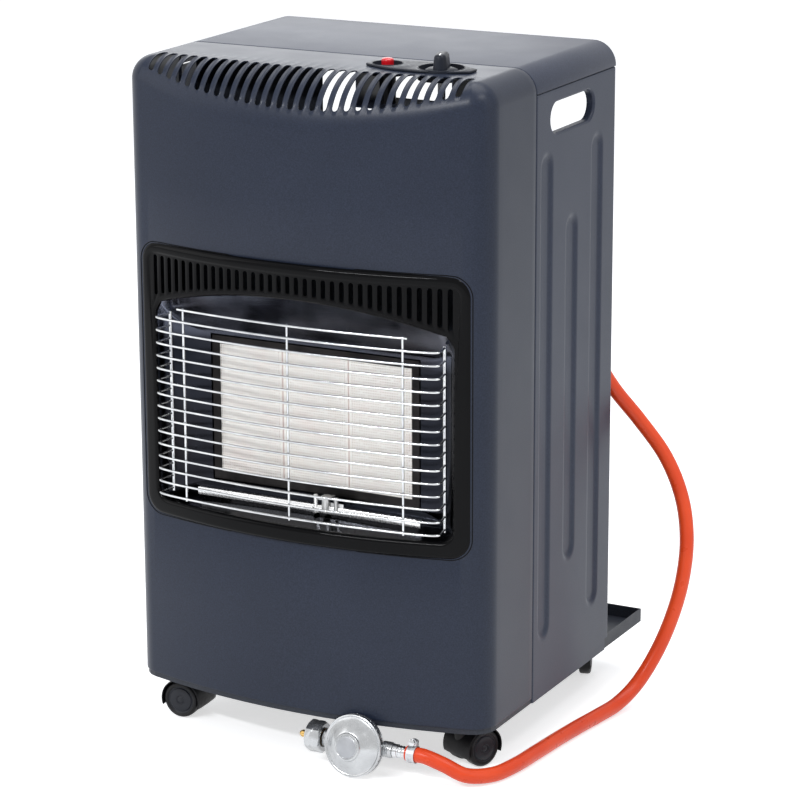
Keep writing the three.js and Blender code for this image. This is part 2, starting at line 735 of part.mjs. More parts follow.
function burnerHousing() {
  const half = BEZEL_HALF - SHELL_CUTOUT_LIP + HOUSING_MARGIN;
  const bottom = BEZEL_BOTTOM + SHELL_CUTOUT_LIP - HOUSING_MARGIN;
  const top = BEZEL_TOP - SHELL_CUTOUT_LIP + HOUSING_MARGIN;
  const rear = frontY + HOUSING_REAR;
  const outer = box(-half, half, frontY, rear, bottom, top);
  const inner = box(-half + SHEET, half - SHEET, frontY - SHEET, rear - SHEET, bottom + SHEET, top - SHEET);
  const behindShell = prism("z", plan(SHEET + GAP, rear + SHEET), bottom - SHEET, top + SHEET);
  const pipeHole = bar(
    [BURNER_INLET_X, rear - 2 * SHEET, BURNER_INLET_Z],
    [BURNER_INLET_X, rear + SHEET, BURNER_INLET_Z],
    PIPE + 8 * GAP,
  );
  const pilotHole = bar(
    [PILOT_X, frontY + PILOT_Y + 20, bottom - SHEET],
    [PILOT_X, frontY + PILOT_Y + 20, bottom + 2 * SHEET],
    PIPE,
  );
  return cut(outer.intersect(behindShell), [inner, pipeHole, pilotHole]);
}

// A ring of points around the reflector: along the sill, up, and back over the head
function reflectorRing(half, sill, shoulder, crown, depthAt) {
  const steps = 10;
  const lower = Array.from({ length: steps + 1 }, (_, i) => {
    const x = -half + (2 * half * i) / steps;
    return [x, depthAt(x), sill];
  });
  const upper = Array.from({ length: steps + 1 }, (_, i) => {
    const x = half - (2 * half * i) / steps;
    return [x, depthAt(x), crown - (crown - shoulder) * (x / half) ** 2];
  });
  return [...lower, ...upper];
}

function reflector() {
  const back = frontY + REFLECTOR_REAR;
  const hole = FRAME_RIM + 2 * GAP + SHEET;
  const skin = (inset) => {
    const front = reflectorRing(
      WINDOW_HALF + REFLECTOR_LAP - inset,
      WINDOW_BOTTOM - REFLECTOR_LAP + inset,
      WINDOW_SHOULDER + REFLECTOR_LAP - inset,
      WINDOW_CROWN + REFLECTOR_LAP - inset,
      (x) => shellFrontAt(x) + GAP,
    );
    const corner = reflectorRing(
      WINDOW_HALF + REFLECTOR_LAP - REFLECTOR_TAPER - inset,
      WINDOW_BOTTOM - REFLECTOR_LAP + REFLECTOR_TAPER + inset,
      WINDOW_CROWN - HOOD_REAR_DROP - inset,
      WINDOW_CROWN - HOOD_REAR_DROP - inset,
      () => back - inset,
    );
    const rim = reflectorRing(
      plaquesHalf + hole,
      PLAQUE_BOTTOM - hole,
      plaqueTop + hole,
      plaqueTop + hole,
      () => back - inset,
    );
    return [front, corner, rim];
  };
  return loft([...skin(SHEET), ...skin(0).reverse()], true);
}

function burnerFrame() {
  const front = frontY + PLAQUE_FRONT - SHEET - GAP;
  const back = frontY + PLAQUE_FRONT + PLAQUE_THICK;
  const grown = (grow, y0, y1) =>
    box(
      -plaquesHalf - grow,
      plaquesHalf + grow,
      y0,
      y1,
      PLAQUE_BOTTOM - grow,
      plaqueTop + grow,
    );
  return cut(grown(FRAME_RIM, front, back), [
    grown(GAP, frontY + PLAQUE_FRONT - GAP, back + SHEET),
    grown(-FRAME_LIP, front - SHEET, back),
  ]);
}

function ceramicPlaque(index) {
  const x0 = -plaquesHalf + index * (PLAQUE_WIDTH + PLAQUE_SEAM);
  const front = frontY + PLAQUE_FRONT;
  return box(x0, x0 + PLAQUE_WIDTH, front, front + PLAQUE_THICK, PLAQUE_BOTTOM, plaqueTop);
}

function burnerPlenum() {
  const grow = FRAME_RIM - SHEET;
  const front = frontY + PLAQUE_FRONT + PLAQUE_THICK + GAP;
  const back = front + PLENUM_DEPTH;
  const shape = (inset, y0, y1) =>
    box(
      -plaquesHalf - grow + inset,
      plaquesHalf + grow - inset,
      y0,
      y1,
      PLAQUE_BOTTOM - grow + inset,
      plaqueTop + grow - inset,
    );
  const hole = bar(
    [BURNER_INLET_X, back - 2 * SHEET, BURNER_INLET_Z],
    [BURNER_INLET_X, back + SHEET, BURNER_INLET_Z],
    PIPE + 4 * GAP,
  );
  return cut(shape(0, front, back), [shape(SHEET, front - SHEET, back - SHEET), hole]);
}

place("bezel", bezel(), GLOSS_BLACK);
place("burner_housing", burnerHousing(), DARK_STEEL);
place("reflector", reflector(), MIRROR_STEEL);
place("burner_frame", burnerFrame(), DARK_STEEL);
["left", "centre", "right"].forEach((side, index) => {
  place(`ceramic_plaque_${side}`, ceramicPlaque(index), CERAMIC);
});
place("burner_plenum", burnerPlenum(), GALVANISED);

// ---------------------------------------------------------------- wire guard

function wireGuard() {
  const wireY = -DEPTH / 2 + WIRE / 2;
  const bowAt = (x) => wireY + GUARD_BOW * x ** 2;
  const rodY = wireY + GUARD_RETURN;
  const corners = WIRE * Math.SQRT2; // square wires, as wide as the round ones they stand for
  const rowTop = WIRE_LOWEST + (WIRE_COUNT - 1) * WIRE_PITCH;
  const long = (z) => {
    const cornerY = bowAt(GUARD_HALF) + WIRE;
    const half = [
      [GUARD_RETURN_HALF, rodY, z],
      [GUARD_HALF, cornerY + WIRE, z],
      [GUARD_HALF - WIRE, cornerY - WIRE / 2, z],
      [GUARD_HALF * 0.8, bowAt(GUARD_HALF * 0.8), z],
      [GUARD_HALF * 0.4, bowAt(GUARD_HALF * 0.4), z],
    ];
    const other = half.map(([x, y, height]) => [-x, y, height]).reverse();
    return tube([...half, [0, wireY, z], ...other], corners, 12, 4);
  };
  const crownX = GUARD_UPRIGHT_X + 2 * WIRE;
  const crownZ = rowTop + CROWN_WIRE_RISE;
  const crown = tube(
    [-crownX, -crownX / 2, 0, crownX / 2, crownX].map((x) => [x, bowAt(x), crownZ]),
    corners,
    6,
    4,
  );
  const weld = 0.8 * WIRE; // how far apart the axes of crossing wires lie
  const uprights = [-GUARD_UPRIGHT_X, 0, GUARD_UPRIGHT_X].map((x) =>
    bar([x, bowAt(x) + weld, WIRE_LOWEST - WIRE], [x, bowAt(x) + weld, crownZ + WIRE], WIRE, 6),
  );
  const rods = [-GUARD_RETURN_HALF, GUARD_RETURN_HALF].map((x) =>
    bar([x, rodY, WIRE_LOWEST - WIRE], [x, rodY, rowTop + WIRE / 2], ROD, 6),
  );
  const wires = Array.from({ length: WIRE_COUNT }, (_, i) => long(WIRE_LOWEST + i * WIRE_PITCH));
  return join([...wires, crown, ...uprights, ...rods]);
}

place("wire_guard", wireGuard(), CHROME);

// ---------------------------------------------------------------- controls, tap and pipes

// A pad between two arcs, with blunt ends
function lensOutline(length, width, end) {
  const half = length / 2;
  const rise = (width - end) / 2;
  const radius = (half ** 2 + rise ** 2) / (2 * rise);
  const steps = 14;
  const lower = Array.from({ length: steps + 1 }, (_, i) => {
    const u = -half + (2 * half * i) / steps;
    return [ESCUTCHEON_X + u, controlY - width / 2 + fallBack(radius, u)];
  });
  const upper = lower.map(([x, y]) => [2 * ESCUTCHEON_X - x, 2 * controlY - y]);
  return [...lower, ...upper];
}

const recessFloor = HEIGHT - RECESS_DEPTH;

function controlEscutcheon() {
  const bottom = HEIGHT + GAP;
  const top = bottom + ESCUTCHEON_THICK;
  const outline = lensOutline(ESCUTCHEON_LENGTH, ESCUTCHEON_WIDTH, ESCUTCHEON_END);
  const pad = prism("z", outline, bottom, top);
  const cup = (x, diameter) =>
    bar(
      [x, controlY, recessFloor - SHEET],
      [x, controlY, bottom + SHEET],
      diameter + 2 * SHEET,
      20,
    );
  const hollow = (x, diameter) => bar([x, controlY, recessFloor], [x, controlY, top + SHEET], diameter, 20);
  const hole = (x, diameter) =>
    bar([x, controlY, recessFloor - 2 * SHEET], [x, controlY, recessFloor + SHEET], diameter);
  return cut(join([pad, cup(KNOB_X, KNOB_RECESS), cup(BUTTON_X, BUTTON_RECESS)]), [
    hollow(KNOB_X, KNOB_RECESS),
    hollow(BUTTON_X, BUTTON_RECESS),
    hole(KNOB_X, SPINDLE + 2 * RUNNING_GAP),
    hole(BUTTON_X, BUTTON_STEM + 2 * RUNNING_GAP),
  ]);
}

const bracketTop = HEIGHT - BRACKET_DROP;
const tapTop = bracketTop - SHEET - GAP;
const knobBottom = recessFloor + KNOB_TRAVEL + 2 * GAP;
const spindleTop = knobBottom + KNOB_HEIGHT / 2;
const spindleBottom = tapTop - TAP_HEIGHT / 3;

function tapBracket() {
  const y0 = controlY - BRACKET_DEPTH / 2;
  const y1 = controlY + BRACKET_DEPTH / 2;
  const x0 = BUTTON_X - BUTTON_RECESS / 2 - SHEET - BRACKET_SIDE_GAP;
  const x1 = KNOB_X + KNOB_RECESS / 2 + SHEET + BRACKET_SIDE_GAP;
  const legTop = HEIGHT - SHEET - GAP;
  const plate = box(x0, x1, y0, y1, bracketTop - SHEET, bracketTop);
  const legs = [box(x0, x0 + SHEET, y0, y1, bracketTop - SHEET, legTop)];
  legs.push(box(x1 - SHEET, x1, y0, y1, bracketTop - SHEET, legTop));
  const hole = (x, diameter) =>
    bar([x, controlY, bracketTop - 2 * SHEET], [x, controlY, bracketTop + SHEET], diameter);
  return cut(join([plate, ...legs]), [
    hole(KNOB_X, SPINDLE + 4 * RUNNING_GAP),
    hole(BUTTON_X, IGNITER_DIAMETER + 2 * GAP),
  ]);
}

function gasTap() {
  const half = TAP_WIDTH / 2;
  const bottom = tapTop - TAP_HEIGHT;
  const block = box(KNOB_X - half, KNOB_X + half, controlY - half, controlY + half, bottom, tapTop);
  const capEnd = bottom - TAP_HEIGHT / 6;
  const cap = bar([KNOB_X, controlY, capEnd], [KNOB_X, controlY, bottom + SHEET], 0.8 * TAP_WIDTH);
  const bore = bar(
    [KNOB_X, controlY, spindleBottom - KNOB_TRAVEL - 2 * GAP],
    [KNOB_X, controlY, tapTop + SHEET],
    SPINDLE + 2 * RUNNING_GAP,
  );
  return cut(join([block, cap]), [bore]);
}

// The knob turns about the spindle and both are pushed down together
function knob() {
  const grip = roundedRectangle(
    -KNOB_SKIRT / 2,
    KNOB_SKIRT / 2,
    -KNOB_GRIP_WIDTH / 2,
    KNOB_GRIP_WIDTH / 2,
    KNOB_GRIP_WIDTH / 2 - GAP,
  );
  const skirt = turned(
    [
      [0, 0],
      [KNOB_SKIRT / 2, 0],
      [KNOB_SKIRT / 2, KNOB_SKIRT_HEIGHT - 2],
      [KNOB_SKIRT / 2 - 2, KNOB_SKIRT_HEIGHT],
      [0, KNOB_SKIRT_HEIGHT],
    ],
    24,
  );
  const bore = bar([0, 0, -1], [0, 0, spindleTop - knobBottom + GAP], SPINDLE + 2 * RUNNING_GAP);
  return cut(join([skirt, prism("z", grip, GAP, KNOB_HEIGHT)]), [bore]);
}

function igniterButton() {
  const top = recessFloor + BUTTON_TRAVEL + GAP + BUTTON_HEIGHT;
  const cap = turned(
    [
      [0, top - BUTTON_HEIGHT],
      [BUTTON_DIAMETER / 2, top - BUTTON_HEIGHT],
      [BUTTON_DIAMETER / 2, top - 1.5],
      [BUTTON_DIAMETER / 2 - 1.5, top],
      [0, top],
    ],
    20,
  );
  const stem = bar([0, 0, recessFloor - BUTTON_STEM_REACH], [0, 0, top - BUTTON_HEIGHT + 1], BUTTON_STEM);
  return join([cap, stem]);
}

function piezoIgniter() {
  const top = recessFloor - SHEET - GAP;
  const body = bar([0, 0, top - IGNITER_LENGTH], [0, 0, top], IGNITER_DIAMETER);
  const boreFloor = recessFloor - BUTTON_STEM_REACH - BUTTON_TRAVEL - 2;
  const bore = bar([0, 0, boreFloor], [0, 0, top + 1], BUTTON_STEM + 2 * RUNNING_GAP);
  const terminal = bar([0, 0, top - IGNITER_LENGTH - 6], [0, 0, top - IGNITER_LENGTH + 1], 4, 8);
  return cut(join([body, terminal]), [bore]);
}

function atControl(name, body, material, x) {
  place(name, body, material).position.set(x, controlY, 0);
}

place("control_escutcheon", controlEscutcheon(), GREY_PLASTIC);
place("tap_bracket", tapBracket(), SLATE);
place("gas_tap", gasTap(), BRASS);
atControl("knob_spindle", bar([0, 0, spindleBottom], [0, 0, spindleTop], SPINDLE), GALVANISED, KNOB_X);
atControl("igniter_button", igniterButton(), RED_PLASTIC, BUTTON_X);
atControl("piezo_igniter", piezoIgniter(), BLACK_PLASTIC, BUTTON_X);
const knobMesh = place("knob", knob(), GREY_PLASTIC);
knobMesh.position.set(KNOB_X, controlY, knobBottom);
knobMesh.rotation.z = THREE.MathUtils.degToRad(-72);

const pipeY = frontY + PIPE_Y;

function burnerPipe() {
  const z = tapTop - TAP_HEIGHT / 2;
  const start = controlY + TAP_WIDTH / 2 + GAP;
  const plenumRear = frontY + PLAQUE_FRONT + PLAQUE_THICK + GAP + PLENUM_DEPTH;
  return tube(
    [
      [KNOB_X, start, z],
      [KNOB_X, start + 4, z],
      [KNOB_X, pipeY, z - PIPE],
      [KNOB_X, pipeY, z - 90],
      [(KNOB_X + BURNER_INLET_X) / 2, pipeY, (z + BURNER_INLET_Z) / 2],
      [BURNER_INLET_X, pipeY, BURNER_INLET_Z + 50],
      [BURNER_INLET_X, pipeY, BURNER_INLET_Z + PIPE],
      [BURNER_INLET_X, pipeY - PIPE, BURNER_INLET_Z],
      [BURNER_INLET_X, plenumRear - SHEET - GAP, BURNER_INLET_Z],
    ],
    PIPE,
    26,
    6,
  );
}

function supplyPipe() {
  const z = tapTop - TAP_HEIGHT / 2;
  const start = KNOB_X + TAP_WIDTH / 2 + GAP;
  const riserY = frontY + HOUSING_REAR + PIPE / 2 + 2;
  return tube(
    [
      [start, controlY, z],
      [start + 6, controlY, z],
      [NOZZLE_X - PIPE, controlY, z - 1],
      [NOZZLE_X, controlY, z - 2 * PIPE],
      [NOZZLE_X, riserY, z - 80],
      [NOZZLE_X, riserY, NOZZLE_Z + 2 * PIPE],
      [NOZZLE_X, riserY + 2, NOZZLE_Z + PIPE / 2],
      [NOZZLE_X, nozzleFront - PIPE, NOZZLE_Z],
      [NOZZLE_X, nozzleFront - GAP, NOZZLE_Z],
    ],
    PIPE,
    22,
    6,
  );
}

// Hex head before the heat shield, a stub through it and a flange behind, where the hose starts
const nozzleFront = shieldY - 11;
const nozzleRear = shieldY + SHEET + GAP + 12;

function inletNozzle() {
  const behind = shieldY + SHEET + GAP;
  const head = prism("y", hexagon(NOZZLE_HEX, NOZZLE_X, NOZZLE_Z), nozzleFront, shieldY - GAP);
  const stub = bar([NOZZLE_X, nozzleFront + 1, NOZZLE_Z], [NOZZLE_X, nozzleRear, NOZZLE_Z], NOZZLE_STUB);
  const flange = bar([NOZZLE_X, behind, NOZZLE_Z], [NOZZLE_X, behind + 4, NOZZLE_Z], NOZZLE_FLANGE);
  return join([head, stub, flange]);
}

place("burner_pipe", burnerPipe(), GALVANISED);
place("supply_pipe", supplyPipe(), GALVANISED);
place("inlet_nozzle", inletNozzle(), BRASS);

// ---------------------------------------------------------------- pilot assembly

const pilotY = frontY + PILOT_Y;

function pilotBurner() {
  const y = pilotY - PILOT_DEPTH;
  const foot = PILOT_Z - PILOT_FOOT;
  const head = PILOT_Z + PILOT_HEAD;
  const electrodeX = PILOT_X + PILOT_SPACING;
  const plate = box(
    PILOT_X - PILOT_BURNER / 2 - 1,
    PILOT_X + PILOT_PLATE_END,
    pilotY - PILOT_DEPTH + 1,
    pilotY - PILOT_DEPTH + 2,
    foot,
    PILOT_Z + 3,
  );
  const burner = bar([PILOT_X, y, foot], [PILOT_X, y, head], PILOT_BURNER);
  const hood = box(PILOT_X - 6, PILOT_X + 6, y - 6, y + 9, head - 1, head + 1);
  const electrode = bar([electrodeX, y, foot], [electrodeX, y, head + 1], ELECTRODE, 10);
  return join([plate, burner, hood, electrode]);
}

function thermocouple() {
  const x = PILOT_X - PILOT_SPACING;
  const y = pilotY - PILOT_DEPTH;
  const foot = PILOT_Z - PILOT_FOOT;
  return join([
    bar([x, y, foot - 1], [x, y, PILOT_Z + PILOT_HEAD + 2], THERMOCOUPLE, 10),
    bar([x, y, foot - 2], [x, y, foot + 4], THERMOCOUPLE + 3, 6),
  ]);
}

place("pilot_burner", pilotBurner(), GALVANISED);
place("thermocouple", thermocouple(), CHROME);

// ---------------------------------------------------------------- casters

function casterWheel() {
  const bore = AXLE / 2 + RUNNING_GAP;
  return turned(
    [
      [bore, 0],
      [wheelRadius, 0],
      [wheelRadius, WHEEL_WIDTH - 2],
      [wheelRadius - 3, WHEEL_WIDTH],
      [bore, WHEEL_WIDTH],
      [bore, 0],
    ],
    20,
    "x",
  );
}

// A web between the wheels, with a mudguard over them and a collar for the stem
function casterHousing() {
  const inner = wheelRadius + MUDGUARD_GAP;
  const outer = inner + MUDGUARD_THICK;
  const halfSpan = WHEEL_SPACE / 2 + WHEEL_WIDTH + 1;
  const halfWeb = WEB_THICK / 2;
  const steps = 8;
  const sector = (radius) =>
    Array.from({ length: steps + 1 }, (_, i) => {
      const angle = THREE.MathUtils.degToRad(MUDGUARD_FROM + ((MUDGUARD_TO - MUDGUARD_FROM) * i) / steps);
      return [TRAIL + radius * Math.cos(angle), wheelRadius + radius * Math.sin(angle)];
    });
  const mudguard = prism("x", [...sector(outer), ...sector(inner).reverse()], -halfSpan, halfSpan);
  const web = prism("x", sector(outer - 1), -halfWeb, halfWeb);
  const collar = bar([0, 0, wheelRadius], [0, 0, TRAY_BOTTOM - GAP], STEM_COLLAR, 16);
  const alongAxle = (from, to, diameter, sides) =>
    bar([from, TRAIL, wheelRadius], [to, TRAIL, wheelRadius], diameter, sides);
  const wheelRoom = 2 * inner + 2 * GAP;
  const stemHole = bar(
    [0, 0, TRAY_BOTTOM - STEM_DEPTH - GAP],
    [0, 0, TRAY_BOTTOM + 1],
    STEM + 2 * RUNNING_GAP,
  );
  const trayRoom = box(-WHEEL, WHEEL, -WHEEL, 2 * WHEEL, TRAY_BOTTOM - GAP, TRAY_BOTTOM + WHEEL);
  return cut(join([mudguard, web, collar]), [
    alongAxle(-halfSpan, -halfWeb, wheelRoom, 16),
    alongAxle(halfWeb, halfSpan, wheelRoom, 16),
    alongAxle(-WEB_THICK, WEB_THICK, AXLE + 2 * GAP, 12),
    stemHole,
    trayRoom,
  ]);
}

function casterStem() {
  const nutBase = trayFloor + GAP;
  const rod = bar([0, 0, TRAY_BOTTOM - STEM_DEPTH], [0, 0, nutBase + STEM_NUT + 2], STEM);
  return join([rod, prism("z", hexagon(STEM_NUT_FLATS), nutBase, nutBase + STEM_NUT)]);
}

function casterAxle() {
  const half = WHEEL_SPACE / 2 + WHEEL_WIDTH - 2;
  return bar([-half, TRAIL, wheelRadius], [half, TRAIL, wheelRadius], AXLE);
}

for (const { name, x, y, turn } of casterPlaces) {
  const caster = new THREE.Group();
  caster.position.set(x, y, 0);
  caster.rotation.z = THREE.MathUtils.degToRad(turn);
  heater.add(caster);
  place(`caster_housing_${name}`, casterHousing(), BLACK_PLASTIC, caster);
  place(`caster_stem_${name}`, casterStem(), GALVANISED, caster);
  place(`caster_axle_${name}`, casterAxle(), GALVANISED, caster);
  for (const [side, away] of [["a", 1], ["b", -1]]) {
    const wheel = place(`caster_wheel_${name}_${side}`, casterWheel(), BLACK_PLASTIC, caster);
    wheel.position.set((away * WHEEL_SPACE) / 2, TRAIL, wheelRadius);
    wheel.rotation.z = away > 0 ? 0 : Math.PI;
  }
}

// ---------------------------------------------------------------- regulator

const tilt = THREE.MathUtils.degToRad(REGULATOR_TILT);
const regulatorZ =
  (REGULATOR / 2) * Math.cos(tilt) + (REGULATOR_RIM / 2) * Math.sin(tilt) + GAP;
const regulatorLean = (REGULATOR / 2) * Math.sin(tilt) + (REGULATOR_RIM / 2) * Math.cos(tilt);
const regulator = new THREE.Group();
regulator.position.set(REGULATOR_X, shellFrontAt(REGULATOR_X) - regulatorLean - 1, regulatorZ);
regulator.rotation.x = -tilt;
heater.add(regulator);

// The cap faces forwards: a cone from the rolled rim to a round flat boss
function regulatorCap() {
  const radius = REGULATOR / 2;
  const half = REGULATOR_RIM / 2;
  const boss = CAP_BOSS / 2;
  return turned(
    [
      [0, GAP],
      [radius, GAP],
      [radius, half - 1],
      [radius - 1.5, half],
      [radius - 4, half],
      [boss, half + CAP_RISE - 2],
      [boss - 0.5, half + CAP_RISE],
      [0, half + CAP_RISE],
    ],
    28,
    "y",
  );
}

function regulatorBody() {
  const radius = REGULATOR / 2;
  const half = REGULATOR_RIM / 2;
  const bowl = turned(
    [
      [0, -half - BOWL_DEPTH],
      [0.4 * radius, -half - BOWL_DEPTH],
      [0.6 * radius, -half - BOWL_DEPTH / 3],
      [0.72 * radius, -half - 1.5],
      [radius - 2, -half],
      [radius, -half + 1],
      [radius, -GAP],
      [0, -GAP],
    ],
    28,
    "y",
  );
  const inlet = bar([-SPIGOT_END, REGULATOR_AXIS, 0], [0, REGULATOR_AXIS, 0], SPIGOT);
  const outlet = bar([0, REGULATOR_AXIS, 0], [radius + CLIP_WIDTH - 1, REGULATOR_AXIS, 0], OUTLET_BOSS);
  return join([bowl, inlet, outlet]);
}

function regulatorNut() {
  const start = -SPIGOT_END - GAP;
  const nut = prism("x", hexagon(NUT_FLATS, REGULATOR_AXIS, 0), -NUT_END, start);
  const along = (from, to, diameter) => bar([from, REGULATOR_AXIS, 0], [to, REGULATOR_AXIS, 0], diameter);
  const bore = along(-NUT_END + 4, start + 1, SPIGOT + 2 * GAP);
  const mouth = along(-NUT_END - 1, start, NOZZLE_TIP + 4);
  return cut(nut, [bore, mouth]);
}

function regulatorNozzle() {
  const along = (from, to, diameter) => bar([from, REGULATOR_AXIS, 0], [to, REGULATOR_AXIS, 0], diameter);
  return join([
    along(-NUT_END + 5, -SPIGOT_END - 2 * GAP, SPIGOT - 2),
    along(-NUT_END - 12, -NUT_END + 6, NOZZLE_TIP),
  ]);
}

function regulatorOutlet() {
  const start = REGULATOR / 2 + CLIP_WIDTH - 1 + GAP;
  const along = (from, to, diameter) => bar([from, REGULATOR_AXIS, 0], [to, REGULATOR_AXIS, 0], diameter);
  return join([along(start, start + 5, OUTLET_BOSS - 1), along(start + 4, OUTLET_END, OUTLET_TUBE)]);
}

// A worm-drive band, with its screw housing on top
function hoseClip() {
  const half = CLIP_WIDTH / 2;
  const bandBore = HOSE + 4 * GAP;
  const screwZ = (bandBore + CLIP_SCREW) / 2;
  const band = bar([-half, 0, 0], [half, 0, 0], bandBore + 2 * CLIP_BAND, 16);
  const screw = bar([0, -7, screwZ], [0, 6, screwZ], CLIP_SCREW);
  const saddle = box(-half, half, -5, 5, bandBore / 2, screwZ);
  const bore = bar([-half - 1, 0, 0], [half + 1, 0, 0], bandBore, 16);
  return cut(join([band, screw, saddle]), [bore]);
}

place("regulator_cap", regulatorCap(), CAST_ZINC, regulator);
place("regulator_body", regulatorBody(), CAST_ZINC, regulator);
place("regulator_nut", regulatorNut(), CAST_ZINC, regulator);
place("regulator_nozzle", regulatorNozzle(), BRASS, regulator);
place("regulator_outlet", regulatorOutlet(), CHROME, regulator);

// ---------------------------------------------------------------- hose

regulator.updateMatrixWorld(true);
const hoseEnd = new THREE.Vector3(OUTLET_END + GAP, REGULATOR_AXIS, 0).applyMatrix4(regulator.matrixWorld);
const hoseStart = [NOZZLE_X, nozzleRear + GAP, NOZZLE_Z];

// From the nozzle down and out past the right side panel, to the floor and round to the front
const hoseRoute = [
  hoseStart,
  [180, -40, 519.5],
  [181, -6, 512],
  [183, 32, 491],
  [185.5, 66, 459],
  [187, 99, 420],
  [190, 127, 381],
  [203, 149, 343],
  [228, 164, 306],
  [257, 168, 268],
  [279, 163, 226],
  [290, 153, 182],
  [290, 142, 137],
  [282, 131, 94],
  [270, 117, 56],
  [257, 96, 26],
  [247, 68, 11.5],
  [240, 34, 8.6],
  [234, -8, 8.6],
  [229, -52, 8.6],
  [225, -96, 8.6],
  [221, -135, 8.6],
  [211, -170, 8.6],
  [192, -194, 13],
  [172, -203, 24],
  [hoseEnd.x + 20, hoseEnd.y, hoseEnd.z],
  [hoseEnd.x + 10, hoseEnd.y, hoseEnd.z],
  hoseEnd.toArray(),
];

place("hose", tube(hoseRoute, HOSE, 66, 8), HOSE_RUBBER);

const inletClip = place("inlet_hose_clip", hoseClip(), GALVANISED);
inletClip.position.set(NOZZLE_X, nozzleRear + GAP + CLIP_WIDTH, NOZZLE_Z);
inletClip.rotation.z = Math.PI / 2;

const outletClip = place("outlet_hose_clip", hoseClip(), GALVANISED, regulator);
outletClip.position.set(OUTLET_END + GAP + CLIP_WIDTH - 2, REGULATOR_AXIS, 0);

export default heater;
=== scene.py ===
# Portable gas cabinet heater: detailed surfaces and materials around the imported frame.
# Lengths are written in millimetres in the part's own frame and scaled once, when a mesh is made.
import math

import bmesh
import bpy
from mathutils import Matrix, Vector


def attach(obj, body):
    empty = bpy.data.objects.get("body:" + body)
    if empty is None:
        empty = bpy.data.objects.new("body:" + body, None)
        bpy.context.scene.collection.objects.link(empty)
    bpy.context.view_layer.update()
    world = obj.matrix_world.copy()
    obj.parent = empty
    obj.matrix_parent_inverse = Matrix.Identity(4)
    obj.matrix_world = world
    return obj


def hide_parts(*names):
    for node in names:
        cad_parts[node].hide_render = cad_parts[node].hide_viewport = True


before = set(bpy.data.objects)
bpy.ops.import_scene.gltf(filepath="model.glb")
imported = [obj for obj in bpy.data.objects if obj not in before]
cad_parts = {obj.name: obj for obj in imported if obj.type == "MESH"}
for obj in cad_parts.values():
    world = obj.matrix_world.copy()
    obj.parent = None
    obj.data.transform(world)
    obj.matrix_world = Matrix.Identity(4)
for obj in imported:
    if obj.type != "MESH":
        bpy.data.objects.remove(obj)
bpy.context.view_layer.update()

MM = 0.001
scene = bpy.context.scene

# ---------------------------------------------------------------- camera

CAMERA_AT = Vector((1555.7, -2942.6, 1272.1)) * MM
CAMERA_YAW = math.radians(27.619)
CAMERA_PITCH = math.radians(15.61)
CAMERA_ROLL = math.radians(-0.219)
LENS = 143.754

camera_data = bpy.data.cameras.new("camera")
camera_data.lens = LENS
camera_data.sensor_width = 36
camera_data.clip_end = 50
camera = bpy.data.objects.new("camera", camera_data)
scene.collection.objects.link(camera)
back = Vector(
    (
        math.sin(CAMERA_YAW) * math.cos(CAMERA_PITCH),
        -math.cos(CAMERA_YAW) * math.cos(CAMERA_PITCH),
        math.sin(CAMERA_PITCH),
    )
)
level = Vector((math.cos(CAMERA_YAW), math.sin(CAMERA_YAW), 0))
upward = back.cross(level)
right = level * math.cos(CAMERA_ROLL) + upward * math.sin(CAMERA_ROLL)
upward = back.cross(right)
camera.matrix_world = Matrix.Translation(CAMERA_AT) @ Matrix((right, upward, back)).transposed().to_4x4()
scene.camera = camera

# ---------------------------------------------------------------- dimensions shared with the frame

WIDTH, DEPTH, HEIGHT, SHEET, GAP = 420, 440, 730, 1.2, 0.3
HALF = WIDTH / 2
FRONT = -DEPTH / 2 + 10.5
REAR = DEPTH / 2
SEAM_Y = FRONT + 137.4
PANEL_REAR = REAR - 95.5
BOW_RADIUS = 702
CORNER = 28
SHELL_BOTTOM = 59
SHOULDER = 25.5
BROW = 58
LID_BOTTOM = HEIGHT - 26
CONTROL_Y = FRONT + 92
KNOB_X, BUTTON_X, PAD_X = 126, 65, 103
RECESS_FLOOR = HEIGHT - 8
PANEL_MIDDLE = (SEAM_Y + PANEL_REAR - 20) / 2


def fall_back(radius, x):
    """How far a bow of a radius has fallen back at x."""
    return radius - math.sqrt(radius * radius - x * x)


def smooth(t):
    t = min(max(t, 0.0), 1.0)
    return t * t * (3 - 2 * t)


# ---------------------------------------------------------------- materials


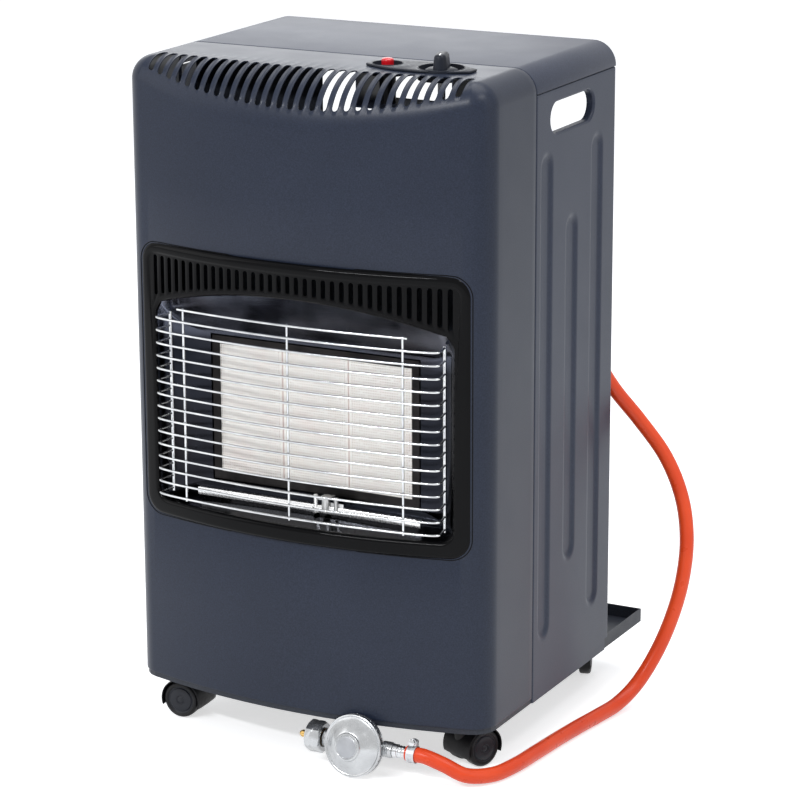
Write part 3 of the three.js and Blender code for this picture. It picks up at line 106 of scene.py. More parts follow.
class Graph:
    """The nodes of one procedural material."""

    def __init__(self, name):
        self.material = bpy.data.materials.new(name)
        self.material.use_nodes = True
        self.tree = self.material.node_tree
        self.shader = self.tree.nodes["Principled BSDF"]
        self.coordinates = self.tree.nodes.new("ShaderNodeTexCoord").outputs["Object"]

    def node(self, kind, **settings):
        node = self.tree.nodes.new(kind)
        for key, value in settings.items():
            setattr(node, key, value)
        return node

    def link(self, start, end):
        self.tree.links.new(start, end)

    def set(self, **sockets):
        for key, value in sockets.items():
            self.shader.inputs[key.replace("_", " ")].default_value = value

    def noise(self, scale, detail=3.0, stretch=(1, 1, 1), roughness=0.5):
        mapping = self.node("ShaderNodeMapping")
        mapping.inputs["Scale"].default_value = stretch
        self.link(self.coordinates, mapping.inputs["Vector"])
        noise = self.node("ShaderNodeTexNoise")
        noise.inputs["Scale"].default_value = scale
        noise.inputs["Detail"].default_value = detail
        noise.inputs["Roughness"].default_value = roughness
        self.link(mapping.outputs["Vector"], noise.inputs["Vector"])
        return noise.outputs["Fac"]

    def ramp(self, value, stops):
        ramp = self.node("ShaderNodeValToRGB")
        elements = ramp.color_ramp.elements
        while len(elements) < len(stops):
            elements.new(0.5)
        for element, (position, colour) in zip(elements, stops):
            element.position = position
            element.color = (*colour, 1)
        self.link(value, ramp.inputs["Fac"])
        return ramp.outputs["Color"]

    def spread(self, value, low, high, start=0.3, end=0.7):
        """The value's middle range spread from low to high."""
        spread = self.node("ShaderNodeMapRange")
        for key, number in (("From Min", start), ("From Max", end), ("To Min", low), ("To Max", high)):
            spread.inputs[key].default_value = number
        self.link(value, spread.inputs["Value"])
        return spread.outputs["Result"]

    def colour(self, socket, times=None):
        """The surface's colour, multiplied by a second value where one is given."""
        if times is not None:
            mix = self.node("ShaderNodeMix", data_type="RGBA", blend_type="MULTIPLY")
            mix.inputs["Factor"].default_value = 1
            self.link(socket, mix.inputs["A"])
            self.link(times, mix.inputs["B"])
            socket = mix.outputs["Result"]
        self.link(socket, self.shader.inputs["Base Color"])

    def rough(self, value, low, high):
        self.link(self.spread(value, low, high), self.shader.inputs["Roughness"])

    def bump(self, height, depth, strength=1.0, after=None):
        """A relief of that depth in metres, on top of another one."""
        bump = self.node("ShaderNodeBump")
        bump.inputs["Strength"].default_value = strength
        bump.inputs["Distance"].default_value = depth
        self.link(height, bump.inputs["Height"])
        if after is not None:
            self.link(after, bump.inputs["Normal"])
        self.link(bump.outputs["Normal"], self.shader.inputs["Normal"])
        return bump.outputs["Normal"]


def surface(name, dark, light, rough, patch=14, grain=900, relief=2e-5, stretch=(1, 1, 1), **sockets):
    """A plain finish: broad colour patches, roughness patches and a fine grain."""
    graph = Graph(name)
    graph.set(**sockets)
    graph.colour(graph.ramp(graph.noise(patch, 4, stretch), [(0.3, dark), (0.7, light)]))
    graph.rough(graph.noise(patch * 6, 3, stretch), *rough)
    graph.bump(graph.noise(grain, 2, stretch), relief)
    return graph.material


def powder_coat(name, dark, light, rough=(0.3, 0.38)):
    """Satin powder coat: fine pebbled grain with tiny lighter flakes, over slow drifts of tone."""
    graph = Graph(name)
    graph.set(IOR=1.3)
    drift = graph.ramp(graph.noise(7, 3), [(0.25, dark), (0.75, light)])
    graph.colour(drift, graph.spread(graph.noise(700, 2, roughness=0.7), 0.82, 1.3, 0.35, 0.72))
    graph.rough(graph.noise(24, 2), *rough)
    pebbles = graph.bump(graph.noise(420, 2), 4e-5, 0.5)
    graph.bump(graph.noise(1500, 1), 1.5e-5, 0.5, pebbles)
    return graph.material


NAVY = powder_coat("navy_powder_coat", (0.0145, 0.0195, 0.035), (0.0185, 0.0245, 0.043), (0.3, 0.34))
SLATE = powder_coat("slate_powder_coat", (0.026, 0.032, 0.052), (0.033, 0.0395, 0.063), (0.35, 0.38))
# dark paint on the tray and burner housing; on the draught baffle it is painted shade
DARK_PAINT_AND_SHADE = powder_coat("dark_tray_paint_and_painted_shade", (0.022, 0.025, 0.034), (0.03, 0.034, 0.044), (0.4, 0.5))

ENAMEL = surface(
    "gloss_black_enamel", (0.0015, 0.0015, 0.002), (0.003, 0.003, 0.0035), (0.05, 0.09), 9, 260, 6e-6,
    IOR=1.18,
)
CHROME = surface(
    "bright_chrome", (0.46, 0.47, 0.49), (0.66, 0.67, 0.68), (0.08, 0.2), 60, 1200, 4e-6, Metallic=1.0
)
BRASS = surface(
    "machined_brass", (0.5, 0.31, 0.09), (0.78, 0.54, 0.22), (0.18, 0.34), 90, 1600, 8e-6,
    (1, 6, 6), Metallic=1.0,
)
BLACK_PLASTIC = surface(
    "black_caster_plastic", (0.005, 0.005, 0.006), (0.01, 0.01, 0.012), (0.36, 0.52), 40, 700, 3e-5, IOR=1.32
)
WHEEL_PLASTIC = surface(
    "wheel_disc_plastic", (0.01, 0.011, 0.016), (0.017, 0.019, 0.026), (0.34, 0.5), 30, 800, 2.5e-5, IOR=1.35
)
GREY_PLASTIC = surface(
    "grained_grey_plastic", (0.008, 0.01, 0.0165), (0.0145, 0.0175, 0.027), (0.3, 0.45), 50, 900, 3e-5,
    IOR=1.27,
)
RED_PLASTIC = surface(
    "glossy_red_plastic", (0.52, 0.004, 0.01), (0.66, 0.01, 0.018), (0.12, 0.24), 60, 500, 8e-6,
    Coat_Weight=0.3,
)
TUBE = surface(
    "drawn_tube", (0.42, 0.42, 0.42), (0.6, 0.6, 0.6), (0.22, 0.4), 50, 900, 8e-6, (1, 1, 0.15), Metallic=1.0
)
BURNER_STEEL = surface(
    "heat_darkened_steel", (0.008, 0.0075, 0.008), (0.022, 0.02, 0.02), (0.3, 0.5), 35, 600, 1.5e-5,
    Metallic=0.9,
)
ZINC_CAST = surface(
    "satin_die_cast_zinc", (0.4, 0.41, 0.42), (0.54, 0.55, 0.56), (0.2, 0.28), 45, 1300, 7e-6, Metallic=0.95
)
BOSS_GREY = surface(
    "brushed_boss", (0.3, 0.31, 0.33), (0.42, 0.43, 0.45), (0.32, 0.46), 45, 900, 2e-5, Metallic=0.9
)


def galvanised():
    """Zinc-plated sheet with its crystal spangle."""
    graph = Graph("galvanised_steel")
    graph.set(Metallic=0.95)
    cells = graph.node("ShaderNodeTexVoronoi")
    cells.inputs["Scale"].default_value = 90
    graph.link(graph.coordinates, cells.inputs["Vector"])
    grey = graph.node("ShaderNodeSeparateColor")
    graph.link(cells.outputs["Color"], grey.inputs["Color"])
    spangle = grey.outputs["Red"]
    graph.colour(graph.ramp(spangle, [(0.0, (0.42, 0.43, 0.45)), (1.0, (0.58, 0.59, 0.61))]))
    graph.link(graph.spread(spangle, 0.3, 0.48, 0, 1), graph.shader.inputs["Roughness"])
    graph.bump(graph.noise(700, 2), 1.2e-5)
    return graph.material


def mirror_with_heat_tint_and_painted_light():
    """Polished reflector steel with heat tints, and painted light by height: dark round the burner and
    lighter in the hood over it.
    """
    graph = Graph("polished_reflector_steel")
    graph.set(Metallic=1.0)
    tint = [(0.3, (0.14, 0.16, 0.22)), (0.5, (0.24, 0.26, 0.34)), (0.7, (0.18, 0.17, 0.2))]
    height = graph.node("ShaderNodeSeparateXYZ")
    graph.link(graph.coordinates, height.inputs["Vector"])
    # painted light: the colour is scaled by height, dark round the burner and lighter in the hood
    hood = graph.spread(height.outputs["Z"], 0.07, 0.6, 0.43, 0.465)
    graph.colour(graph.ramp(graph.noise(11, 3), tint), hood)
    graph.rough(graph.noise(26, 3), 0.1, 0.2)
    wave = graph.bump(graph.noise(16, 2), 4e-4, 0.35)
    graph.bump(graph.noise(500, 2, (1, 1, 8)), 4e-6, 0.6, wave)
    return graph.material


def fired_ceramic():
    """Unglazed burner plaque: chalky cream with faint pinkish clouds."""
    graph = Graph("fired_ceramic_plaque")
    graph.set(IOR=1.45)
    clouds = [(0.3, (0.93, 0.88, 0.82)), (0.5, (0.96, 0.93, 0.88)), (0.72, (0.95, 0.88, 0.83))]
    graph.colour(graph.ramp(graph.noise(24, 3), clouds))
    graph.rough(graph.noise(200, 2), 0.82, 0.95)
    graph.bump(graph.noise(2200, 2), 3e-5)
    return graph.material


def hose_rubber():
    """Orange gas hose: smooth extruded rubber with a fine grain."""
    graph = Graph("orange_hose_rubber")
    graph.set(IOR=1.38)
    graph.colour(graph.ramp(graph.noise(20, 3), [(0.3, (0.72, 0.055, 0.012)), (0.7, (0.82, 0.08, 0.018))]))
    graph.rough(graph.noise(80, 3), 0.26, 0.4)
    graph.bump(graph.noise(900, 2), 1.2e-5)
    return graph.material


GALVANISED = galvanised()
MIRROR = mirror_with_heat_tint_and_painted_light()
CERAMIC = fired_ceramic()
# darker brown for the plaques' holes: painted shade in the holes
PORE_SHADE = surface("pore_painted_shade", (0.34, 0.22, 0.16), (0.5, 0.36, 0.28), (0.85, 0.95), 300, 1500, 2e-5)
FIBRE = surface("ceramic_fibre_seal", (0.6, 0.47, 0.44), (0.72, 0.6, 0.56), (0.85, 0.95), 120, 1500, 8e-5)
SILL_STEEL = surface(
    "polished_sill", (0.8, 0.8, 0.81), (0.9, 0.9, 0.9), (0.2, 0.32), 40, 900, 6e-6, Metallic=1.0
)
HOSE = hose_rubber()

# ---------------------------------------------------------------- mesh making


def build(name, points, faces, material, angle=35):
    """A piece from points in millimetres, its faces turned outwards, smooth but for edges over the angle."""
    mesh = bpy.data.meshes.new(name)
    mesh.from_pydata([(x * MM, y * MM, z * MM) for x, y, z in points], [], faces)
    piece = bpy.data.objects.new(name, mesh)
    scene.collection.objects.link(piece)
    mesh.materials.append(material)
    work = bmesh.new()
    work.from_mesh(mesh)
    bmesh.ops.remove_doubles(work, verts=work.verts, dist=1e-3 * MM)
    bmesh.ops.recalc_face_normals(work, faces=work.faces)
    work.to_mesh(mesh)
    work.free()
    soften(piece, angle)
    return piece


def soften(piece, angle=35):
    piece.data.shade_smooth()
    piece.data.set_sharp_from_angle(angle=math.radians(angle))


def settle(piece, angle=35):
    """Applies the piece's modifiers."""
    bpy.context.view_layer.update()
    evaluated = piece.evaluated_get(bpy.context.evaluated_depsgraph_get())
    piece.data = bpy.data.meshes.new_from_object(evaluated)
    piece.modifiers.clear()
    soften(piece, angle)
    return piece


def thicken(piece, thickness, offset=-1):
    """Sheet metal of that thickness behind the piece's skin, or around it with offset 0."""
    skin = piece.modifiers.new("skin", "SOLIDIFY")
    skin.thickness = thickness * MM
    skin.offset = offset
    skin.use_quality_normals = True


def round_edges(piece, width, segments=2, angle=40):
    bevel = piece.modifiers.new("edges", "BEVEL")
    bevel.width = width * MM
    bevel.segments = segments
    bevel.limit_method = "ANGLE"
    bevel.angle_limit = math.radians(angle)


def face_along(piece, direction):
    """Turns the piece's skin over if it looks away from the direction."""
    work = bmesh.new()
    work.from_mesh(piece.data)
    if sum(face.normal.dot(direction) * face.calc_area() for face in work.faces) < 0:
        bmesh.ops.reverse_faces(work, faces=work.faces)
    work.to_mesh(piece.data)
    work.free()


def join(name, pieces, angle=35):
    """The pieces as one."""
    work = bmesh.new()
    materials = []
    for piece in pieces:
        start = len(work.faces)
        work.from_mesh(piece.data)
        work.faces.ensure_lookup_table()
        for face in work.faces[start:]:
            own = piece.data.materials[face.material_index]
            if own not in materials:
                materials.append(own)
            face.material_index = materials.index(own)
        bpy.data.objects.remove(piece)
    mesh = bpy.data.meshes.new(name)
    work.to_mesh(mesh)
    work.free()
    for material in materials:
        mesh.materials.append(material)
    whole = bpy.data.objects.new(name, mesh)
    scene.collection.objects.link(whole)
    soften(whole, angle)
    return whole


def carve(piece, cutters, angle=35, bevel=0):
    """Cuts the cutters out of the piece."""
    tool = join("cutter", cutters)
    cut = piece.modifiers.new("cut", "BOOLEAN")
    cut.object = tool
    cut.solver = "EXACT"
    if bevel:
        round_edges(piece, bevel)
    settle(piece, angle)
    bpy.data.objects.remove(tool)
    return piece


def grid_faces(rows, columns, around=False, skip=()):
    """Quads over rows of points; around joins each row's last point to its first."""
    last = columns if around else columns - 1
    return [
        (
            row * columns + column,
            row * columns + (column + 1) % columns,
            (row + 1) * columns + (column + 1) % columns,
            (row + 1) * columns + column,
        )
        for row in range(rows - 1)
        for column in range(last)
        if (row, column) not in skip
    ]


def loft(name, rings, material, closed=False, angle=35):
    """A skin through rings of points, capped at both ends, or closed: the last ring joined to the first."""
    count = len(rings[0])
    if closed:
        rings = [*rings, rings[0]]
    faces = grid_faces(len(rings), count, around=True)
    if not closed:
        faces.append(tuple(range(count)))
        faces.append(tuple(reversed(range((len(rings) - 1) * count, len(rings) * count))))
    return build(name, [point for ring in rings for point in ring], faces, material, angle)


def sheet(name, outer, inner, faces, material, angle, edge):
    """Sheet metal: an outer and an inner skin of matching points, closed along their free edges."""
    count = len(outer)
    free = set()
    for face in faces:
        for start, end in zip(face, (*face[1:], face[0])):
            if (end, start) in free:
                free.remove((end, start))
            else:
                free.add((start, end))
    whole = list(faces)
    whole += [tuple(count + i for i in reversed(face)) for face in faces]
    whole += [(end, start, start + count, end + count) for start, end in sorted(free)]
    piece = build(name, [*outer, *inner], whole, material, angle)
    round_edges(piece, edge, 2, 60)
    return settle(piece, angle)


def polar(x, y, radius, turn):
    """The point at a turn in radians on a circle round x, y."""
    return x + radius * math.cos(turn), y + radius * math.sin(turn)


def circle(radius, segments, start=0.0):
    return [polar(0, 0, radius, start + 2 * math.pi * i / segments) for i in range(segments)]


def quarter(steps, first=0):
    """Sine and cosine at each step of a quarter turn."""
    turns = [math.pi / 2 * i / steps for i in range(first, steps + 1)]
    return [(math.sin(turn), math.cos(turn)) for turn in turns]


def rounded(radius, height, over, steps=4):
    """Profile points that round a turned edge over: from its side to its end face."""
    return [(radius - over * (1 - cosine), height - over * (1 - sine)) for sine, cosine in quarter(steps)]


def lathe(name, profile, material, segments=64, move=None, angle=35, closed=False):
    """A [radius, height] profile turned about +Z, then moved: from axis to axis, or closed into a ring."""
    rings = [[(x, y, height) for x, y in circle(max(radius, 1e-4), segments)] for radius, height in profile]
    piece = loft(name, rings, material, closed, angle)
    if move is not None:
        piece.data.transform(move)
    return piece


def hoop(name, profile, material, segments=64, move=None):
    return lathe(name, profile, material, segments, move, closed=True)


def place_at(x, y, z, turn=None):
    """A matrix for a mesh that was made at the origin, in millimetres."""
    spot = Matrix.Translation(Vector((x, y, z)) * MM)
    return spot @ turn if turn is not None else spot


def turned(degrees, axis):
    return Matrix.Rotation(math.radians(degrees), 4, axis)


def prism(name, outline, start, end, material, axis="z", angle=35):
    """An outline drawn out along an axis."""
    lay = {
        "x": lambda u, v, w: (w, u, v),
        "y": lambda u, v, w: (u, w, v),
        "z": lambda u, v, w: (u, v, w),
    }[axis]
    rings = [[lay(u, v, w) for u, v in outline] for w in (start, end)]
    return loft(name, rings, material, angle=angle)


def stadium(length, height, u=0.0, v=0.0, steps=8, upright=False):
    """A full-round slot, long in u, or in v when upright."""
    radius = height / 2
    reach = length / 2 - radius
    points = []
    for side in (1, -1):
        for i in range(steps + 1):
            turn = -math.pi / 2 + math.pi * i / steps
            a = side * (reach + radius * math.cos(turn))
            b = side * radius * math.sin(turn)
            points.append((u - b, v + a) if upright else (u + a, v + b))
    return points


def spline(points, steps):
    """Points along a smooth curve through the points given (centripetal Catmull-Rom)."""
    ends = [points[0] * 2 - points[1], *points, points[-1] * 2 - points[-2]]
    path = []
    for i in range(1, len(ends) - 2):
        p = ends[i - 1 : i + 3]
        t = [0.0]
        for a, b in zip(p, p[1:]):
            t.append(t[-1] + max((b - a).length, 1e-9) ** 0.5)
        for step in range(steps):
            s = t[1] + (t[2] - t[1]) * step / steps
            a1 = p[0] * ((t[1] - s) / (t[1] - t[0])) + p[1] * ((s - t[0]) / (t[1] - t[0]))
            a2 = p[1] * ((t[2] - s) / (t[2] - t[1])) + p[2] * ((s - t[1]) / (t[2] - t[1]))
            a3 = p[2] * ((t[3] - s) / (t[3] - t[2])) + p[3] * ((s - t[2]) / (t[3] - t[2]))
            b1 = a1 * ((t[2] - s) / (t[2] - t[0])) + a2 * ((s - t[0]) / (t[2] - t[0]))
            b2 = a2 * ((t[3] - s) / (t[3] - t[1])) + a3 * ((s - t[1]) / (t[3] - t[1]))
            path.append(b1 * ((t[2] - s) / (t[2] - t[1])) + b2 * ((s - t[1]) / (t[2] - t[1])))
    path.append(points[-1].copy())
    return path


def tube(name, path, radius, material, sides):
    """A round bar along a path of points in millimetres."""
    path = [Vector(point) for point in path]
    heading = (path[1] - path[0]).normalized()
    side = heading.orthogonal().normalized()
    rings = []
    for i, point in enumerate(path):
        before = path[max(i - 1, 0)]
        after = path[min(i + 1, len(path) - 1)]
        heading = (after - before).normalized()
        side = (side - heading * side.dot(heading)).normalized()
        up = heading.cross(side)
        rings.append([tuple(point + side * u + up * v) for u, v in circle(radius, sides, math.pi / sides)])
    return loft(name, rings, material, angle=60)


def fit(piece, body, slot, *nodes):
    """The piece rides on a body and stands for CAD nodes, which are hidden. The slot is not used."""
    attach(piece, body)
    if nodes:
        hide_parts(*nodes)
    return piece


def dress(material, *names, bevel=0.4):
    """CAD nodes that keep their shape get a material and rounded edges."""
    for name in names:
        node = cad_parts[name]
        node.data.materials.clear()
        node.data.materials.append(material)
        if bevel:
            round_edges(node, bevel)


# ---------------------------------------------------------------- hose

HOSE_DIAMETER = 16
TILT = 12
TILT_SINE, TILT_COSINE = math.sin(math.radians(TILT)), math.cos(math.radians(TILT))
REGULATOR_RADIUS, REGULATOR_RIM, REGULATOR_AXIS, REGULATOR_X = 33, 10, 11, 75
OUTLET_END = 56
regulator_height = REGULATOR_RADIUS * TILT_COSINE + REGULATOR_RIM / 2 * TILT_SINE + GAP
regulator_lean = REGULATOR_RADIUS * TILT_SINE + REGULATOR_RIM / 2 * TILT_COSINE
regulator_y = FRONT + fall_back(BOW_RADIUS, REGULATOR_X) - regulator_lean - 1
REGULATOR = place_at(REGULATOR_X, regulator_y, regulator_height, turned(-TILT, "X"))
hose_end = (REGULATOR @ (Vector((OUTLET_END + GAP, REGULATOR_AXIS, 0)) * MM)) / MM
NOZZLE_X, NOZZLE_Z = 180, 520
NOZZLE_REAR = FRONT + 134 + SHEET + GAP + 12

# from the nozzle in the bay, out and down beside the cabinet, along the floor and up to the regulator
hose_route = [
    (NOZZLE_X, NOZZLE_REAR + GAP, NOZZLE_Z),
    (180, -40, 519.5),
    (181, -6, 512),
    (183, 32, 491),
    (185.5, 66, 459),
    (187, 99, 420),
    (190, 127, 381),
    (203, 149, 343),
    (228, 164, 306),
    (257, 168, 268),
    (279, 163, 226),
    (290, 153, 182),
    (290, 142, 137),
    (282, 131, 94),
    (270, 117, 56),
    (257, 96, 26),
    (247, 68, 11.5),
    (240, 34, 8.6),
    (234, -8, 8.6),
    (229, -52, 8.6),
    (225, -96, 8.6),
    (221, -135, 8.6),
    (211, -170, 8.6),
    (192, -194, 13),
    (172, -203, 24),
    (hose_end.x + 20, hose_end.y, hose_end.z),
    (hose_end.x + 10, hose_end.y, hose_end.z),
    tuple(hose_end),
]
hose_path = [point * MM for point in spline([Vector(point) for point in hose_route], 6)]
hose_curve = bpy.data.curves.new("gas_hose", "CURVE")
hose_curve.dimensions = "3D"
hose_curve.bevel_depth = HOSE_DIAMETER / 2 * MM
hose_curve.bevel_resolution = 8
hose_curve.use_fill_caps = True
hose_line = hose_curve.splines.new("POLY")
hose_line.points.add(len(hose_path) - 1)
for point, place in zip(hose_line.points, hose_path):
    point.co = (*place, 1)
hose_line.use_smooth = True
hose_curve.materials.append(HOSE)
hose = bpy.data.objects.new("gas_hose", hose_curve)
scene.collection.objects.link(hose)
fit(hose, "cabinet", "orange_rubber", "hose")

# ---------------------------------------------------------------- front shell

BOW_CENTRE = FRONT + BOW_RADIUS
CORNER_X = HALF - CORNER
CORNER_Y = BOW_CENTRE - math.sqrt((BOW_RADIUS - CORNER) ** 2 - CORNER_X**2)
BOW_TURN = math.atan2(CORNER_X, BOW_CENTRE - CORNER_Y)
BOW_END = BOW_RADIUS * math.sin(BOW_TURN)
SLOT_COUNT, SLOT_PITCH, SLOT_WIDTH = 29, 12.6, 6.6
SLOT_REAR_MIDDLE, SLOT_REAR_END = 50, 60
DROP_MIDDLE, DROP_END = 36, 13
LIP, LIP_WIDTH = 0.7, 1.1
EDGE_ROLL = [(0, 1.3), (0.35, 0.55), (0.9, 0.12), (1.7, 0)]


def brow_radius(x):
    return SHOULDER + (BROW - SHOULDER) * max(0.0, 1 - (x / BOW_END) ** 2)


def slot_columns():
    """Columns across the bow: the x of each, how far it lies inside a slot's round end, whether a slot
    opens on its right, and how far a slot's pressed lip stands up there."""
    half = SLOT_WIDTH / 2
    columns = []
    span = (SLOT_COUNT - 1) / 2 * SLOT_PITCH
    for i in range(SLOT_COUNT):
        centre = -span + i * SLOT_PITCH
        offsets = [half * math.sin(math.radians(turn)) for turn in (-90, -60, -30, 0, 30, 60, 90)]
        columns.append((centre - half - LIP_WIDTH, 0.0, False, 0))
        for k, dx in enumerate(offsets):
            reach = math.sqrt(max(half * half - dx * dx, 0))
            columns.append((centre + dx, reach, k < len(offsets) - 1, LIP))
        columns.append((centre + half + LIP_WIDTH, 0.0, False, 0))
    outer = [(x, 0.0, False, 0) for x in (-BOW_END, -188, -186.2, -184.6, -183)]
    mirrored = [(-x, *rest) for x, *rest in reversed(outer)]
    return outer + columns + mirrored


def brow_point(start, inward, radius, along, depth):
    """A point on the section that rises to start, rolls inwards and runs on level, that deep in the sheet."""
    arc = radius * math.pi / 2
    if along < arc:
        turn = along / radius
        inset = radius - (radius - depth) * math.cos(turn)
        z = HEIGHT - radius + (radius - depth) * math.sin(turn)
    else:
        inset, z = radius + along - arc, HEIGHT - depth
    return (start[0] + inward[0] * inset, start[1] + inward[1] * inset, z)


def shell_column(start, inward, radius, low, rear, depth, lip=0):
    """One column's rows: up the wall, over the brow to the slot's ends, and back to its rear."""
    wall = [SHELL_BOTTOM, SHELL_BOTTOM + 2, 150, 252, 340, 440, 528, 600]
    rows = [(start[0] + inward[0] * depth, start[1] + inward[1] * depth, z) for z in wall]
    below = low - LIP_WIDTH
    rows += [brow_point(start, inward, radius, below * i / 5, depth) for i in range(6)]
    rows += [brow_point(start, inward, radius, low + (rear - low) * i / 14, depth - lip) for i in range(15)]
    return rows


def corner_columns(depth):
    """The right side's columns, from the seam round the corner to the bow's end."""
    side = []
    roll = SHOULDER * math.pi / 2
    for back_from, sunk in EDGE_ROLL:
        side.append(shell_column((HALF, SEAM_Y - back_from), (-1, 0), SHOULDER, 9, roll, depth + sunk))
    for i in range(1, 9):
        y = SEAM_Y + (CORNER_Y - SEAM_Y) * i / 9
        side.append(shell_column((HALF, y), (-1, 0), SHOULDER, 9, roll, depth))
    for i in range(14):
        turn = math.pi / 2 - (math.pi / 2 - BOW_TURN) * i / 14
        start = (CORNER_X + CORNER * math.sin(turn), CORNER_Y - CORNER * math.cos(turn))
        side.append(shell_column(start, (-math.sin(turn), math.cos(turn)), SHOULDER, 9, roll, depth))
    return side


def bow_columns(depth):
    """Columns across the bow, each with the rows from its slot's rear end to the seam."""
    span = (SLOT_COUNT - 1) / 2 * SLOT_PITCH
    blend_from = 180.5
    last_inset = SHOULDER * math.sin(BOW_TURN)
    columns, tops = [], []
    for x, reach, _, lip in slot_columns():
        start = (x, FRONT + fall_back(BOW_RADIUS, x))
        radius = brow_radius(x)
        share = max(abs(x) - blend_from, 0) / (BOW_END - blend_from)
        inward = (-math.copysign(share * last_inset / radius, x), 1 - share * (1 - math.cos(BOW_TURN)))
        outwards = min(abs(x) / span, 1.0) ** 2
        drop = DROP_MIDDLE + (DROP_END - DROP_MIDDLE) * outwards
        slot_rear = FRONT + SLOT_REAR_MIDDLE + (SLOT_REAR_END - SLOT_REAR_MIDDLE) * outwards
        rise = drop - SLOT_WIDTH / 2 + reach
        low = radius * math.asin(max(1 - rise / radius, 0.12))
        rear_y = slot_rear - SLOT_WIDTH / 2 + reach - start[1]
        arc = radius * math.pi / 2
        rear = arc + rear_y - radius if rear_y > radius else radius * math.acos(1 - rear_y / radius)
        rear = rear * (1 - share) + arc * share
        wall = shell_column(start, inward, radius, low, rear, depth, lip)
        end = wall[-1]
        last_y = SEAM_Y - EDGE_ROLL[-1][0]
        places = [(end[1] + LIP_WIDTH, 0)]
        places += [(places[0][0] + (last_y - places[0][0]) * i / 4, 0) for i in range(1, 5)]
        places += [(SEAM_Y - back_from, sunk) for back_from, sunk in reversed(EDGE_ROLL[:-1])]
        top = []
        for y, sunk in places:
            past = y - start[1]
            z = HEIGHT - depth
            if past < radius:
                z = HEIGHT - radius + math.sqrt(max((radius - depth) ** 2 - (radius - past) ** 2, 0))
            top.append((end[0], y, max(z, end[2] - lip) - sunk))
        columns.append(wall)
        tops.append(top)
    return columns, tops


def shell_points(depth):
    corner = corner_columns(depth)
    middle, tops = bow_columns(depth)
    left = [[(-x, y, z) for x, y, z in column] for column in corner]
    columns = left + middle + corner[::-1]
    return [point for column in columns for point in column] + [point for top in tops for point in top]


def front_shell():
    """The bowed shell: wall, corners and louvred brow in one grid, then the level top behind the slots."""
    layout = slot_columns()
    side_count, rows, top_rows = 26, 29, 8
    low_row, rear_row = 14, 28
    column_count = 2 * side_count + len(layout)
    slots = {side_count + i for i, (_, _, opens, _) in enumerate(layout) if opens}
    # behind the bezel the shell is open: between the columns at 183 mm and from the 4th to the 7th row
    windows = {side_count + i for i, (x, *_) in enumerate(layout) if -183.5 < x < 182.9}
    skip = {(column, row) for column in slots for row in range(low_row, rear_row)}
    skip |= {(column, row) for column in windows for row in range(3, 6)}
    faces = grid_faces(column_count, rows, skip=skip)
    base = column_count * rows

    def top_index(column, row):
        if row == 0:
            return (side_count + column) * rows + rows - 1
        return base + column * top_rows + row - 1

    last = len(layout) - 1
    for column in range(last):
        for row in range(top_rows):
            corners = ((column, row), (column, row + 1), (column + 1, row + 1), (column + 1, row))
            faces.append(tuple(top_index(*corner) for corner in corners))
    left = [i * rows + rows - 1 for i in range(side_count)]
    right_side = [i * rows + rows - 1 for i in range(column_count - 1, side_count + len(layout) - 1, -1)]
    rolled = len(EDGE_ROLL) - 1
    for j in range(rolled):
        far, near = top_rows - j, top_rows - j - 1
        faces.append((top_index(0, far), top_index(0, near), left[j + 1], left[j]))
        faces.append((top_index(last, near), top_index(last, far), right_side[j], right_side[j + 1]))
    flat_rows = range(top_rows + 1 - rolled)
    faces.append(tuple([top_index(0, row) for row in reversed(flat_rows)] + left[: rolled - 1 : -1]))
    faces.append(tuple([top_index(last, row) for row in flat_rows] + right_side[rolled:]))
    shell = sheet("front_shell_sheet", shell_points(0), shell_points(SHEET), faces, NAVY, 50, 0.4)
    holes = [
        prism("hole", [(x + u, CONTROL_Y + v) for u, v in circle(radius, 48)], HEIGHT - 9, HEIGHT + 4, NAVY)
        for x, radius in ((KNOB_X, 24.8), (BUTTON_X, 16.8))
    ]
    return carve(shell, holes, 50)


fit(front_shell(), "cabinet", "navy_paint", "front_shell")

# ---------------------------------------------------------------- lid and side panels


def shoulder_outline(inset):
    """The lid's section, from its right foot over both rounded shoulders to its left foot."""
    radius, half, top = SHOULDER - inset, HALF - inset, HEIGHT - inset
    arc = [(half - radius + radius * cosine, top - radius + radius * sine) for sine, cosine in quarter(14)]
    return [(half, LID_BOTTOM), *arc, *[(-x, z) for x, z in reversed(arc)], (-half, LID_BOTTOM)]


def lid():
    """A folded lid: open in front, where it meets the shell, with a rounded rear edge."""
    front, end = SEAM_Y + 0.8, PANEL_REAR + 2
    round_over = 3
    rings = []
    for back_from, sunk in EDGE_ROLL:
        rings.append([(x, front + back_from, z) for x, z in shoulder_outline(sunk)])
    for sine, cosine in quarter(5):
        y = end - round_over + round_over * sine
        rings.append([(x, y, z) for x, z in shoulder_outline(round_over * (1 - cosine))])
    count = len(rings[0])
    faces = grid_faces(len(rings), count)
    faces.append(tuple((len(rings) - 1) * count + i for i in range(count)))
    piece = build("lid_sheet", [point for ring in rings for point in ring], faces, SLATE, 50)
    thicken(piece, SHEET)
    round_edges(piece, 0.35, 2, 60)
    return settle(piece, 50)


fit(lid(), "cabinet", "slate_paint", "lid")

RIB_DEPTH, RIB_SLOPE, RIB_WIDTH = 3, 7, 30
RIBS = [(PANEL_MIDDLE - 62, 117, 640), (PANEL_MIDDLE, 188, 565), (PANEL_MIDDLE + 62, 117, 640)]
GRIP_Z, GRIP_LENGTH, GRIP_HEIGHT = HEIGHT - 57, 106, 32


def rib_depth(y, z):
    """How far the ribs press the side panel in at a point."""
    deepest = 0.0
    for centre, bottom, top in RIBS:
        radius = RIB_WIDTH / 2
        near = min(max(z, bottom + radius), top - radius)
        inside = radius - math.hypot(y - centre, z - near)
        deepest = max(deepest, RIB_DEPTH * smooth(inside / RIB_SLOPE))
    return deepest


def fine_steps(start, end, step):
    count = max(1, round((end - start) / step))
    return [start + (end - start) * i / count for i in range(count + 1)]


